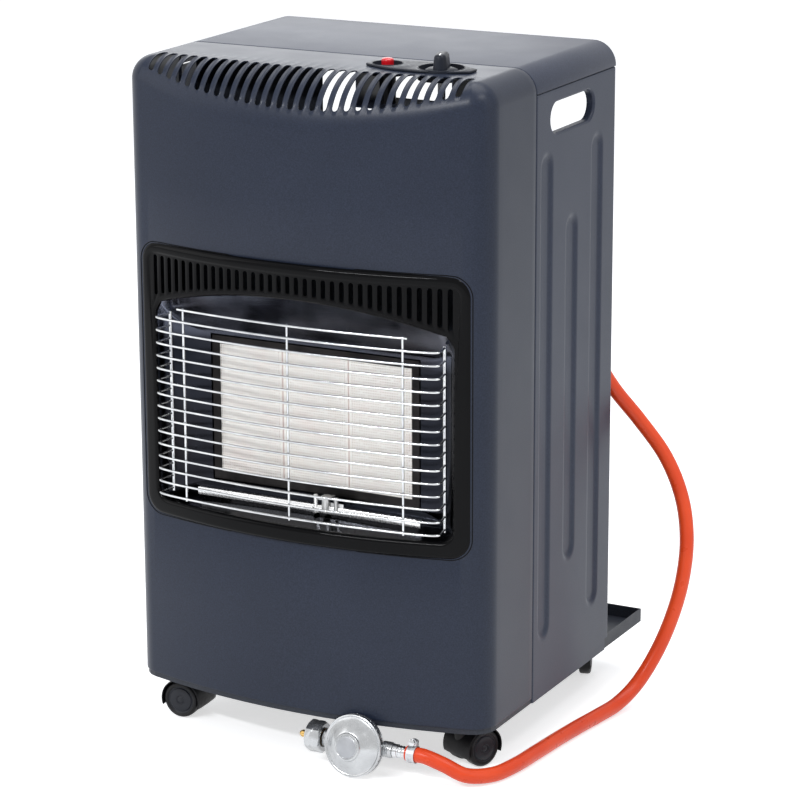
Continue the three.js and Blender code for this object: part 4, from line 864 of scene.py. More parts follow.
def side_panel(side):
    """A pressed side panel: edges turned in at the seams, three ribs, a flange along the rear and a
    rolled grip."""
    name = "right" if side > 0 else "left"
    front, top, foot = SEAM_Y + 0.8, LID_BOTTOM - 0.8, 53
    turn_in, rear_roll, folded = 1.6, 2.5, 3.5
    across = [(HALF - folded, front, 0)]
    for sine, cosine in quarter(4)[:-1]:
        across.append((HALF - turn_in * (1 - sine), front + turn_in * (1 - cosine), 0))
    across += [(HALF, y, 1) for y in fine_steps(front + turn_in, PANEL_REAR - rear_roll, 1.8)]
    for sine, cosine in quarter(5, 1):
        across.append((HALF - rear_roll * (1 - cosine), PANEL_REAR - rear_roll + rear_roll * sine, 0))
    across += [(HALF - 6, PANEL_REAR, 0), (HALF - 12, PANEL_REAR, 0)]
    heights = [(foot, 0), *[(z, 0) for z in fine_steps(foot + 1, top - turn_in, 3.2)]]
    for sine, cosine in quarter(4, 1):
        heights.append((top - turn_in + turn_in * sine, turn_in * (1 - cosine)))
    heights.append((top, folded))
    points = []
    for z, fold in heights:
        for x, y, flat_part in across:
            depth = rib_depth(y, z) if flat_part and fold == 0 else 0
            points.append((side * (x - depth - fold), y, z))
    faces = grid_faces(len(heights), len(across))
    piece = build(name + "_panel_sheet", points, faces, SLATE, 50)
    face_along(piece, Vector((side, 0, 0)))
    thicken(piece, SHEET)
    settle(piece, 50)
    grip = stadium(GRIP_LENGTH + 5, GRIP_HEIGHT + 5, PANEL_MIDDLE, GRIP_Z, 12)
    x0, x1 = sorted((side * (HALF - 15), side * (HALF + 5)))
    notch = [(PANEL_REAR - 9, 52), (PANEL_REAR + 2, 52), (PANEL_REAR + 2, 66), (PANEL_REAR - 9, 66)]
    n0, n1 = sorted((side * (HALF - 16), side * (HALF + 5)))
    cutters = [prism("grip", grip, x0, x1, SLATE, "x"), prism("notch", notch, n0, n1, SLATE, "x")]
    carve(piece, cutters, 50)
    rings = []
    roll = 3.0
    for sine, cosine in quarter(6):
        rings.append((roll * (1 - sine), HALF - roll * (1 - cosine)))
    rings += [(0, HALF - 9), (1.0, HALF - 9), (1.0, HALF - 4), (2.4, HALF - 1.4)]
    collar = []
    for grown, x in rings:
        outline = stadium(GRIP_LENGTH + 2 * grown, GRIP_HEIGHT + 2 * grown, PANEL_MIDDLE, GRIP_Z, 12)
        collar.append([(side * x, y, z) for y, z in outline])
    rim = loft("rim", collar, SLATE, closed=True, angle=60)
    return join(name + "_side_sheet", [piece, rim], 50)


fit(side_panel(1), "cabinet", "slate_paint", "right_side_panel")
fit(side_panel(-1), "cabinet", "slate_paint", "left_side_panel")

# ---------------------------------------------------------------- bezel

BEZEL_HALF, BEZEL_BOTTOM, BEZEL_TOP, BEZEL_CORNER = 193, 242, 538, 22
BEZEL_FRONT, BEZEL_BOW = FRONT - 6, 600
WINDOW_HALF, WINDOW_BOTTOM, WINDOW_SHOULDER, WINDOW_CROWN = 174, 260, 472, 500
ARCH_RISE = WINDOW_CROWN - WINDOW_SHOULDER
ARCH_RADIUS = (WINDOW_HALF**2 + ARCH_RISE**2) / (2 * ARCH_RISE)
WINDOW_ROUND, WINDOW_FOOT_ROUND = 14, 13
LOUVRE_COUNT, LOUVRE_PITCH, LOUVRE_WIDTH = 35, 10.1, 5
LOUVRE_TOP, LOUVRE_BOTTOM, LOUVRE_DIP = 525, 507, 25


def arch(x):
    return WINDOW_CROWN - fall_back(ARCH_RADIUS, x)


def bezel_outlines():
    """Matched points round the outer edge and round the window, anticlockwise from the top right."""
    outer, window = [], []
    straight = BEZEL_HALF - BEZEL_CORNER
    reach = WINDOW_HALF - WINDOW_ROUND
    ear = arch(reach) - WINDOW_ROUND * 1.03
    for k in range(18, -1, -1):
        x = (k - 0.5) * LOUVRE_PITCH
        over = max(x - straight, 0)
        outer.append((x, BEZEL_TOP - BEZEL_CORNER + math.sqrt(BEZEL_CORNER**2 - over**2)))
        if x <= reach:
            window.append((x, arch(x)))
        elif x < WINDOW_HALF:
            window.append((x, ear + math.sqrt(WINDOW_ROUND**2 - (x - reach) ** 2) * 1.03))
        else:
            window.append((WINDOW_HALF, ear + 1))
    start = math.acos(min(((18 - 0.5) * LOUVRE_PITCH - straight) / BEZEL_CORNER, 1))
    turns = [start * (1 - i / 8) for i in range(8, 0, -1)]
    corner = [polar(straight, BEZEL_TOP - BEZEL_CORNER, BEZEL_CORNER, turn) for turn in turns]
    corner_window = [(WINDOW_HALF, ear - 16 + 2 * (i - 1)) for i in range(8)]
    foot_z, window_foot_z = BEZEL_BOTTOM + BEZEL_CORNER, WINDOW_BOTTOM + WINDOW_FOOT_ROUND
    window_straight = WINDOW_HALF - WINDOW_FOOT_ROUND
    side, side_window = [], []
    for i in range(1, 24):
        share = i / 24
        side.append((BEZEL_HALF, foot_z * (1 - share) + corner[0][1] * share))
        side_window.append((WINDOW_HALF, window_foot_z * (1 - share) + corner_window[0][1] * share))
    turns = [-math.pi / 2 + math.pi / 2 * i / 10 for i in range(11)]
    foot = [polar(straight, foot_z, BEZEL_CORNER, turn) for turn in turns]
    foot_window = [polar(window_straight, window_foot_z, WINDOW_FOOT_ROUND, turn) for turn in turns]
    sill = [(x, BEZEL_BOTTOM) for x in fine_steps(5, straight - 4, 9)]
    sill_window = [(x * (window_straight - 4) / (straight - 4), WINDOW_BOTTOM) for x, _ in sill]
    right_outer = sill + foot + side + corner + outer
    right_window = sill_window + foot_window + side_window + corner_window + window
    pairs = [(p, q) for p, q in zip(right_outer, right_window) if p[0] > 0]
    return tuple(half + [(-x, z) for x, z in reversed(half)] for half in map(list, zip(*pairs)))


def normals(outline):
    """Outward normals of an anticlockwise outline."""
    result = []
    count = len(outline)
    for i in range(count):
        (x0, z0), (x1, z1) = outline[i - 1], outline[(i + 1) % count]
        length = math.hypot(x1 - x0, z1 - z0) or 1
        result.append(((z1 - z0) / length, -(x1 - x0) / length))
    return result


def bezel_face(x):
    return BEZEL_FRONT + fall_back(BEZEL_BOW, x)


def bezel():
    """An enamelled pressing: rolled edge, stepped face, rolled window lip and a row of louvres."""
    outer, window = bezel_outlines()
    outer_normals, window_normals = normals(outer), normals(window)
    rings = []

    def ring(points, depth):
        rings.append([(x, max(min(d, 30), 0) + bezel_face(x), z) for (x, z), d in zip(points, depth)])

    def inside(distance):
        return [(x - nx * distance, z - nz * distance) for (x, z), (nx, nz) in zip(outer, outer_normals)]

    def outside(distance):
        return [(x + nx * distance, z + nz * distance) for (x, z), (nx, nz) in zip(window, window_normals)]

    def shell_y(x):
        if abs(x) < BOW_END:
            return FRONT + fall_back(BOW_RADIUS, x)
        return CORNER_Y - math.sqrt(max(CORNER**2 - (abs(x) - CORNER_X) ** 2, 0))

    def to_shell(points):
        return [shell_y(x) - 0.25 - bezel_face(x) for x, _ in points]

    ring(outer, to_shell(outer))
    roll, lip = 5, 4.5
    for sine, cosine in quarter(6):
        ring(inside(roll * (1 - cosine)), [roll * (1 - sine)] * len(outer))
    step = [1.5 * smooth((z - 468) / 40) for _, z in outer]
    ring(inside(9), [0] * len(outer))
    ring(inside(9.8), [d * 0.15 for d in step])
    ring(inside(11.2), [d * 0.85 for d in step])
    ring(inside(12), step)
    for sine, cosine in quarter(6):
        ring(outside(lip * (1 - sine)), [s + lip * (1 - cosine) for s in step])
    ring(window, [max(d, s + lip + 0.5) for d, s in zip(to_shell(window), step)])
    count = len(outer)
    points = [point for r in rings for point in r]
    piece = build("bezel_pressing", points, grid_faces(len(rings), count, around=True), ENAMEL, 60)
    face_along(piece, Vector((0, -1, 0)))
    thicken(piece, 1)
    settle(piece, 60)
    slots = []
    span = (LOUVRE_COUNT - 1) // 2 * LOUVRE_PITCH
    for k in range(LOUVRE_COUNT):
        x = -span + k * LOUVRE_PITCH
        low = LOUVRE_BOTTOM - LOUVRE_DIP * (x / span) ** 2
        outline = stadium(LOUVRE_TOP - low, LOUVRE_WIDTH, x, (LOUVRE_TOP + low) / 2, 6, upright=True)
        slots.append(prism("slot", outline, BEZEL_FRONT - 3, BEZEL_FRONT + 60, ENAMEL, "y"))
    return carve(piece, slots, 60, bevel=0.45)


fit(bezel(), "cabinet", "black_enamel", "bezel")

# ---------------------------------------------------------------- reflector and plaques

PLAQUE_FRONT_Y, PLAQUE_WIDTH, PLAQUE_SEAM = FRONT + 51, 76.4, 1.4
PLAQUE_BOTTOM, PLAQUE_HEIGHT = 287.5, 144.5
PLAQUES_HALF = (3 * PLAQUE_WIDTH + 2 * PLAQUE_SEAM) / 2
DISH_HALF, DISH_BOTTOM, DISH_TOP, DISH_MARGIN = 167, 266, 445, 7.8


def clamp(value, low, high):
    return max(min(value, high), low)


def reflector():
    """A polished dish: from behind the window it sweeps back to the burner frame."""
    _, window = bezel_outlines()
    window_normals = normals(window)
    back_y = FRONT + 50 - GAP
    half = PLAQUES_HALF + DISH_MARGIN
    low, high = PLAQUE_BOTTOM - DISH_MARGIN, PLAQUE_BOTTOM + PLAQUE_HEIGHT + DISH_MARGIN
    sweeps = []
    for (x, z), (nx, nz) in zip(window, window_normals):
        fx, fz = x + 3 * nx, z + 3 * nz
        front = Vector((fx, FRONT + fall_back(BOW_RADIUS, fx) + 0.6, fz))
        corner = Vector((clamp(x, -DISH_HALF, DISH_HALF), back_y, clamp(z, DISH_BOTTOM, DISH_TOP)))
        rim = Vector((clamp(x, -half, half), back_y, clamp(z, low, high)))
        sweeps.append((front, front * 0.25 + corner * 0.75, corner * 0.8 + rim * 0.2, rim))
    points = []
    for i in range(17):
        t = i / 16
        for a, b, c, d in sweeps:
            point = a * (1 - t) ** 3 + b * 3 * t * (1 - t) ** 2 + c * 3 * t * t * (1 - t) + d * t**3
            points.append(tuple(point))
    piece = build("reflector_dish", points, grid_faces(17, len(window), around=True), MIRROR, 50)
    thicken(piece, 0.8, 0)
    return settle(piece, 50)


fit(reflector(), "cabinet", "mirror_steel", "reflector")


def plaque(name, x0, node):
    """A ceramic plaque: rows of fine blind holes in groups, a chamfered edge and a plain margin."""
    columns, rows, pitch = 26, 50, 2.76
    margin_x = (PLAQUE_WIDTH - columns * pitch) / 2
    margin_z = (PLAQUE_HEIGHT - rows * pitch) / 2
    hole, depth = 0.52, 1.1
    square = ((-1, -1), (1, -1), (1, 1), (-1, 1))
    points, faces, pores = [], [], []

    def add(x, y, z):
        points.append((x0 + x, PLAQUE_FRONT_Y + y, PLAQUE_BOTTOM + z))
        return len(points) - 1

    lattice = [
        [add(margin_x + i * pitch, 0, margin_z + j * pitch) for i in range(columns + 1)]
        for j in range(rows + 1)
    ]
    for j in range(rows):
        for i in range(columns):
            corners = (lattice[j][i], lattice[j][i + 1], lattice[j + 1][i + 1], lattice[j + 1][i])
            if (i + 2 * (j % 4)) % 9 == 8:
                faces.append(corners)
                continue
            cx = margin_x + (i + 0.5 + 0.12 * (j % 2)) * pitch
            cz = margin_z + (j + 0.5) * pitch
            mouth = [add(cx + a * hole, 0, cz + b * hole) for a, b in square]
            floor = [add(cx + a * hole * 0.7, depth, cz + b * hole * 0.7) for a, b in square]
            for k in range(4):
                n = (k + 1) % 4
                faces.append((corners[k], corners[n], mouth[n], mouth[k]))
                pores.append((mouth[k], mouth[n], floor[n], floor[k]))
            pores.append(tuple(floor))
    rim = [lattice[0][i] for i in range(columns)]
    rim += [lattice[j][columns] for j in range(rows)]
    rim += [lattice[rows][i] for i in range(columns, 0, -1)]
    rim += [lattice[j][0] for j in range(rows, 0, -1)]

    def pushed_out(at, margin, size, inset):
        if at <= margin + 1e-6:
            return inset
        return size - inset if at >= size - margin - 1e-6 else at

    def outline(inset, y):
        """The rim's points, moved out to that inset from the plaque's edge."""
        ring = []
        for index in rim:
            x, _, z = points[index]
            far_x = pushed_out(x - x0, margin_x, PLAQUE_WIDTH, inset)
            ring.append(add(far_x, y, pushed_out(z - PLAQUE_BOTTOM, margin_z, PLAQUE_HEIGHT, inset)))
        return ring

    loops = [rim, outline(0.8, 0), outline(0, 0.8), outline(0, 13)]
    for inner, outer_ring in zip(loops, loops[1:]):
        for k in range(len(rim)):
            n = (k + 1) % len(rim)
            faces.append((inner[k], outer_ring[k], outer_ring[n], inner[n]))
    faces.append(tuple(loops[-1]))
    piece = build(name, points, faces + pores, CERAMIC, 30)
    # the holes' walls and floors take the darker brown: painted shade in the holes
    piece.data.materials.append(PORE_SHADE)
    for face in piece.data.polygons:
        deepest = max(piece.data.vertices[index].co.y for index in face.vertices) / MM - PLAQUE_FRONT_Y
        if len(face.vertices) == 4 and abs(deepest - depth) < 0.01:
            face.material_index = 1
    return fit(piece, "cabinet", "ceramic", node)


for index, side in enumerate(("left", "centre", "right")):
    x = -PLAQUES_HALF + index * (PLAQUE_WIDTH + PLAQUE_SEAM)
    plaque("plaque_" + side, x, "ceramic_plaque_" + side)

for index in (1, 2):
    x = -PLAQUES_HALF + index * (PLAQUE_WIDTH + PLAQUE_SEAM) - PLAQUE_SEAM / 2
    near, far = PLAQUE_FRONT_Y + 0.4, PLAQUE_FRONT_Y + 11
    strip = [(x - 0.65, near), (x + 0.65, near), (x + 0.65, far), (x - 0.65, far)]
    low, high = PLAQUE_BOTTOM + 0.5, PLAQUE_BOTTOM + PLAQUE_HEIGHT - 0.5
    seal = prism("plaque_seal_%d" % index, strip, low, high, FIBRE)
    round_edges(seal, 0.2)
    fit(settle(seal), "cabinet", "ceramic")


def sill():
    """A bright folded strip along the reflector's lower front."""
    y, z, half, high = FRONT + 31, 267, 132, 8
    profile = [(y, z), (y + 1, z), (y + 1, z + high - 1), (y + 5, z + high - 0.6), (y + 5, z + high)]
    profile += [(y + 0.4, z + high), (y, z + high - 0.8)]
    strip = prism("reflector_sill", profile, -half, half, SILL_STEEL, "x")
    round_edges(strip, 0.2)
    return settle(strip)


fit(sill(), "cabinet", "mirror_steel")

# ---------------------------------------------------------------- wire guard

WIRE, ROD = 3, 4
WIRE_SEEN = 2.5  # nearer to the photo than the frame's wires
WIRE_Y = -DEPTH / 2 + WIRE / 2
WIRE_COUNT, WIRE_PITCH, WIRE_LOWEST = 15, 13.65, 270.6
GUARD_HALF, GUARD_RETURN_X, GUARD_RETURN = 165, 161, 39
UPRIGHT_X, CROWN_HALF, CROWN_RISE = 128, 134, 13


def bow(x):
    return WIRE_Y + 5.1e-4 * x * x


def wire_guard():
    """Bowed wires with bent-back ends, a shorter crown wire, three uprights and a rod at each end."""
    rod_y = WIRE_Y + GUARD_RETURN
    row_top = WIRE_LOWEST + (WIRE_COUNT - 1) * WIRE_PITCH
    pieces = []
    for i in range(WIRE_COUNT):
        z = WIRE_LOWEST + i * WIRE_PITCH
        corner_y = bow(GUARD_HALF) + WIRE
        half = [(GUARD_RETURN_X, rod_y), (GUARD_HALF - 1, corner_y + 9), (GUARD_HALF, corner_y + WIRE)]
        half += [(GUARD_HALF - 0.6, corner_y + 0.6), (GUARD_HALF - WIRE, corner_y - WIRE / 2)]
        half += [(GUARD_HALF * share, bow(GUARD_HALF * share)) for share in (0.9, 0.7, 0.35)]
        route = half + [(0, WIRE_Y)] + [(-x, y) for x, y in reversed(half)]
        path = spline([Vector((x, y, z)) for x, y in route], 4)
        pieces.append(tube("wire", path, WIRE_SEEN / 2, CHROME, 10))
    crown_z = row_top + CROWN_RISE
    across = [-CROWN_HALF + CROWN_HALF * i / 6 for i in range(13)]
    pieces.append(tube("wire", [(x, bow(x), crown_z) for x in across], WIRE_SEEN / 2, CHROME, 10))
    for x in (-UPRIGHT_X, 0, UPRIGHT_X):
        y = bow(x) + 0.9 * WIRE_SEEN
        line = [(x, y, WIRE_LOWEST - WIRE), (x, y, crown_z + WIRE / 2)]
        pieces.append(tube("upright", line, WIRE_SEEN / 2, CHROME, 12))
    for x in (-GUARD_RETURN_X, GUARD_RETURN_X):
        line = [(x, rod_y, WIRE_LOWEST - WIRE), (x, rod_y, row_top + WIRE / 2)]
        pieces.append(tube("rod", line, ROD / 2, CHROME, 12))
    return join("guard_wires", pieces, 60)


fit(wire_guard(), "cabinet", "chrome_wire", "wire_guard")

# ---------------------------------------------------------------- CAD nodes that keep their shape

dress(DARK_PAINT_AND_SHADE, "base_tray", bevel=0.5)
# the draught baffle is a dark sheet under the roof: painted shade seen through the louvres
dress(DARK_PAINT_AND_SHADE, "burner_housing", "draught_baffle")
dress(GALVANISED, "heat_shield", "burner_plenum", "knob_spindle")
dress(BURNER_STEEL, "burner_frame")
dress(SLATE, "tap_bracket")
dress(BRASS, "gas_tap", "inlet_nozzle", bevel=0.8)
dress(BLACK_PLASTIC, "piezo_igniter")
dress(TUBE, "burner_pipe", "supply_pipe", bevel=0)
dress(TUBE, "pilot_burner")
dress(SILL_STEEL, "thermocouple")

# ---------------------------------------------------------------- controls


def pad_outline(inset):
    """The control pad: two arcs between blunt ends with rounded corners."""
    half, rise, end = 59 - inset, 26 - inset, 8 - inset
    radius = (half**2 + (rise - end) ** 2) / (2 * (rise - end))
    corner = 3
    arc = [-half + corner + 2 * (half - corner) * i / 28 for i in range(29)]
    lower = [(u, -rise + fall_back(radius, u)) for u in arc]
    turn = [(half - 0.8, lower[-1][1] + 1.5), (half, lower[-1][1] + 4)]
    right_half = lower + turn
    outline = right_half + [(u, -v) for u, v in reversed(right_half)]
    return outline + [(-u, -v) for u, v in turn] + [(-u, v) for u, v in reversed(turn)]


def control_pad():
    """The pad with a lipped cup round the knob and another round the button."""
    foot, top = HEIGHT + GAP, HEIGHT + GAP + 2.4
    rings = []
    for inset, z in ((0.3, foot), (0, foot + 0.4), (0, top - 0.9), (0.25, top - 0.3), (0.9, top)):
        rings.append([(PAD_X + u, CONTROL_Y + v, z) for u, v in pad_outline(inset)])
    pad = loft("pad", rings, GREY_PLASTIC)
    wells = ((KNOB_X, 23), (BUTTON_X, 15))
    holes = []
    for x, radius in wells:
        outline = [(x + u, CONTROL_Y + v) for u, v in circle(radius + 0.6, 72)]
        holes.append(prism("hole", outline, foot - 2, top + 2, GREY_PLASTIC))
    carve(pad, holes, 35)
    cups = [pad]
    low = RECESS_FLOOR
    for x, radius in wells:
        profile = [(0, low - 1.2), (radius + 0.6, low - 0.6), (radius + 1.2, low - 1.2)]
        profile += [(radius + 1.2, top - 0.4), (radius + 1.1, top + 0.25), (radius + 0.6, top + 0.45)]
        profile += [(radius + 0.1, top + 0.25), (radius, top - 0.4), (radius - 0.8, low + 1.6)]
        profile += [(radius - 1.4, low + 0.5), (radius - 2.6, low), (0, low)]
        cups.append(lathe("cup", profile, GREY_PLASTIC, 72, place_at(x, CONTROL_Y, 0)))
    return join("control_pad", cups)


fit(control_pad(), "cabinet", "grey_plastic", "control_escutcheon")


def knob():
    """A coned skirt with four shallow scallops and a tapered grip with a rolled top."""
    foot = RECESS_FLOOR + 4 + 2 * GAP
    rings = []
    for radius, height in ((16.4, 0), (17, 0.6), (17, 2.2), (15.6, 4.4), (12.5, 5.8), (8, 6.2)):
        scallop = 0.035 if height > 1 else 0
        ring = []
        for x, y in circle(radius, 72):
            grown = 1 + scallop * math.cos(4 * math.atan2(y, x))
            ring.append((x * grown, y * grown, height))
        rings.append(ring)
    skirt = loft("skirt", rings, GREY_PLASTIC)
    rings = []
    for shrink, height in ((0, 4.5), (0.5, 9), (1.0, 14), (1.5, 17.6), (2.3, 19.6), (3.9, 20.6), (5.4, 20.9)):
        rings.append([(u, v, height) for u, v in stadium(32 - 2 * shrink, 15.5 - 2 * shrink, steps=10)])
    grip = loft("grip", rings, GREY_PLASTIC, angle=50)
    mark = prism("mark", stadium(9, 1.4, 9, 0), 20.2, 20.98, CHROME)
    whole = join("control_knob", [skirt, grip, mark], 50)
    whole.data.transform(place_at(KNOB_X, CONTROL_Y, foot, turned(-72, "Z")))
    return whole


fit(knob(), "knob_turn", "grey_plastic", "knob")


def button():
    """A round-topped push button with a collar, on its stem."""
    foot = RECESS_FLOOR + 5 + GAP
    profile = [(0, foot), (6.1, foot), (6.35, foot + 0.4), (6.35, foot + 8.6)]
    profile += [*rounded(6.3, foot + 10.4, 1.9, 5), (2.6, foot + 10.9), (0, foot + 11)]
    cap = lathe("cap", profile, RED_PLASTIC, 48)
    collar = hoop("collar", [(6.3, foot), (6.9, foot), (6.9, foot + 1.4), (6.3, foot + 1.9)], RED_PLASTIC, 48)
    stem = lathe("stem", [(0, foot - 11), (3, foot - 11), (3, foot + 1), (0, foot + 1)], BLACK_PLASTIC, 24)
    whole = join("igniter_cap", [cap, collar, stem])
    whole.data.transform(place_at(BUTTON_X, CONTROL_Y, 0))
    return whole


fit(button(), "igniter_push", "red_plastic", "igniter_button")

# ---------------------------------------------------------------- casters

WHEEL_RADIUS, WHEEL_SPACE, TRAIL = 20, 15, 12
MUDGUARD_FROM, MUDGUARD_TO = -20, 200


def wheel(name, at, sign):
    """A tyre with rounded shoulders on a domed disc with a grooved rim and a hub."""
    tyre = [(15, 0.6), (17.8, 0), (19.3, 0.7), (20, 2.2), (20, 9.8), (19.5, 11.6), (18.3, 12.7)]
    tyre += [(16.8, 13), (15.2, 12.2)]
    disc = [(0, 1.2), (15.6, 1.2), (15.6, 11.4), (15, 12.1), (14.2, 11.5), (13.4, 11.4), (12.6, 12.3)]
    disc += [(9, 12.9), (5.2, 12.7), (4.4, 11.9), (3.6, 11.9), (2.8, 12.5), (0, 12.7)]
    whole = join(name, [hoop("tyre", tyre, BLACK_PLASTIC, 56), lathe("disc", disc, WHEEL_PLASTIC, 48)])
    spot = place_at(sign * WHEEL_SPACE / 2, TRAIL, WHEEL_RADIUS)
    whole.data.transform(at @ spot @ turned(90 * sign, "Y"))
    return whole


def sector_point(radius, degrees):
    """A point on a mudguard's section, round the wheels' axle."""
    return polar(TRAIL, WHEEL_RADIUS, radius, math.radians(degrees))


def caster_housing(name, at):
    """A mudguard with rolled lips over both wheels, a web between them and the stem's collar."""
    section = [(-21.2, 21.7), (-21.5, 22.3), (-20.8, 23), (-14, 23.6), (0, 23.8), (14, 23.6), (20.8, 23)]
    section += [(21.5, 22.3), (21.2, 21.7), (12, 21.7), (0, 21.7), (-12, 21.7)]
    turns = fine_steps(MUDGUARD_FROM, MUDGUARD_TO, 7)
    rings = [[(x, *sector_point(radius, turn)) for x, radius in section] for turn in turns]
    guard = loft("guard", rings, BLACK_PLASTIC)
    web = prism("web", [sector_point(23, turn) for turn in turns], -6.3, 6.3, BLACK_PLASTIC, "x")
    profile = [(0, 20), (9.6, 20), (10, 21), (10, 50), *rounded(10, 52.7, 1.4), (0, 52.7)]
    collar = lathe("collar", profile, BLACK_PLASTIC)
    axle = place_at(0, TRAIL, WHEEL_RADIUS, turned(90, "Y"))
    hub = lathe("hub", [(0, -7.2), (5, -7.2), (5, 7.2), (0, 7.2)], BLACK_PLASTIC, 32, axle)
    whole = join(name, [guard, web, collar, hub])
    whole.data.transform(at)
    round_edges(whole, 0.5, 2, 50)
    return settle(whole)


for place, x, y, turn in (
    ("front_left", -162, FRONT + 72, 93),
    ("front_right", 162, FRONT + 72, -23),
    ("rear_left", -146, REAR - 44, 150),
    ("rear_right", 146, REAR - 44, 200),
):
    at = place_at(x, y, 0, turned(turn, "Z"))
    cover = caster_housing("caster_cover_" + place, at)
    fit(cover, "caster_" + place, "black_plastic", "caster_housing_" + place)
    dress(GALVANISED, "caster_stem_" + place, "caster_axle_" + place)
    for side, sign in (("a", 1), ("b", -1)):
        name = "wheel_%s_%s" % (place, side)
        fit(wheel(name, at, sign), name, "black_plastic", "caster_" + name)

# ---------------------------------------------------------------- regulator and hose clips

FORWARD = REGULATOR @ turned(90, "X")
ALONG = REGULATOR @ place_at(0, REGULATOR_AXIS, 0) @ turned(90, "Y")


def regulator_cap():
    """The cap: a rolled and notched rim, a coned face and a bare round boss."""
    rim = [(0, 0.3), (32.6, 0.3), (33, 0.9), (33, 3.4)]
    rim += [polar(31.6, 3.6, 1.4, math.radians(turn)) for turn in (20, 50, 80, 110, 140)]
    face = [(29.8, 4.4), (29, 4.8), (27.6, 5.6), (22, 10.2), (16.4, 15), (15.2, 15.5), (14.9, 16.2)]
    face += [(14.6, 17.2), (13.9, 17.85), (12.6, 17.95), (12.2, 17.5), (11.6, 17.5), (11.2, 18)]
    body = lathe("cap", [*rim, *face, (0, 18)], ZINC_CAST, 96, angle=28)
    boss = lathe("boss", [(0, 17.2), (11.1, 17.2), (11.1, 18.05), (10.4, 18.3), (0, 18.35)], BOSS_GREY, 64)
    notch = [(0, -1.5), (0.7, -1.5), (0.7, 1.9), (0, 1.9)]
    notches = [lathe("notch", notch, ZINC_CAST, 10, place_at(x, y, 1.8)) for x, y in circle(33.2, 36)]
    carve(body, notches, 28)
    whole = join("regulator_face", [body, boss], 28)
    whole.data.transform(FORWARD)
    return whole


def regulator_body():
    """The bowl behind the rim, with ribs to its two bosses."""
    profile = [(0, -22), (11.8, -22), (13, -21.4), (13.6, -20), (19.4, -11.2), (20.6, -10)]
    profile += [(23.8, -6.8), (29, -5.8), (31.4, -5), (32.8, -4), (33, -3.2), (33, -0.3), (0, -0.3)]
    bowl = lathe("bowl", profile, ZINC_CAST, 96, FORWARD)
    inlet = [(0, -40), (8.8, -40), (9.8, -39.2), (10, -38.4), (10, -33), (10.9, -32.2), (10.9, -29.4)]
    inlet += [(10, -28.6), (10, 0), (0, 0)]
    outlet = [(0, 0), (8, 0), (8, 29)]
    for step in range(4):
        ring = ((8.6, 29.6), (8.6, 30.8), (7.9, 31.3), (7.9, 31.9))
        outlet += [(radius, height + 2.6 * step) for radius, height in ring]
    outlet += [(7.6, 41), (0, 41)]
    pieces = [bowl]
    for name, boss in (("inlet", inlet), ("outlet", outlet)):
        pieces.append(lathe(name, boss, ZINC_CAST, 48, ALONG))
    for sign in (1, -1):
        outline = [(sign * x, y) for x, y in ((8, 8), (27, 8), (33, 5), (33, 3), (8, 3))]
        rib = prism("rib", outline, -1.4, 1.4, ZINC_CAST)
        rib.data.transform(REGULATOR)
        pieces.append(rib)
    return join("regulator_bowl", pieces)


def union_nut():
    """A hexagon nut with turned chamfers, a groove round its corners and its bore."""
    start, end, corner = -58, -40.3, 15 / math.cos(math.pi / 6)
    body = prism("union_nut_piece", circle(corner, 6), start, end, ZINC_CAST)
    profile = [(0, start - 1), (14.2, start - 1), (14.6, start), (17.6, start + 1.9)]
    profile += [(17.6, end - 1.9), (14.6, end), (14.2, end + 1), (0, end + 1)]
    tool = lathe("tool", profile, ZINC_CAST, 96)
    cut = body.modifiers.new("chamfer", "BOOLEAN")
    cut.operation, cut.solver, cut.object = "INTERSECT", "EXACT", tool
    settle(body)
    bpy.data.objects.remove(tool)
    middle = (start + end) / 2
    vee = [(16.4, middle - 0.5), (18.4, middle - 1.6), (18.4, middle + 1.6), (16.4, middle + 0.5)]
    groove = hoop("groove", vee, ZINC_CAST, 72)
    profile = [(0, start - 2), (10.6, start - 2), (9.6, start + 1), (9.2, start + 4), (0, start + 4)]
    mouth = lathe("mouth", profile, ZINC_CAST)
    rear = lathe("rear", [(0, end - 13), (10.3, end - 13), (10.3, end + 1), (0, end + 1)], ZINC_CAST)
    carve(body, [groove, mouth, rear], 30, bevel=0.25)
    body.data.transform(ALONG)
    return body


def nozzle():
    profile = [(0, -70), (1.8, -70), (2.6, -69.4), (3.8, -67.4), (4, -66.4), (4, -63.6), (3.5, -63.2)]
    profile += [(3.5, -62.2), (4, -61.8), (4, -54.6), (8.4, -53.4), (9, -52.8), (9, -41), (0, -41)]
    return lathe("inlet_spout", profile, BRASS, 40, ALONG)


def outlet():
    profile = [(0, 41.3), (7, 41.3), (7.5, 41.8), (7.5, 45.8), (7, 46.3), (6.25, 46.5)]
    for step in range(2):
        profile += [(6.25, 48 + 3.4 * step), (6.9, 48.6 + 3.4 * step), (6.25, 50.6 + 3.4 * step)]
    return lathe("outlet_spout", [*profile, (6.1, 56), (0, 56)], CHROME, 40, ALONG)


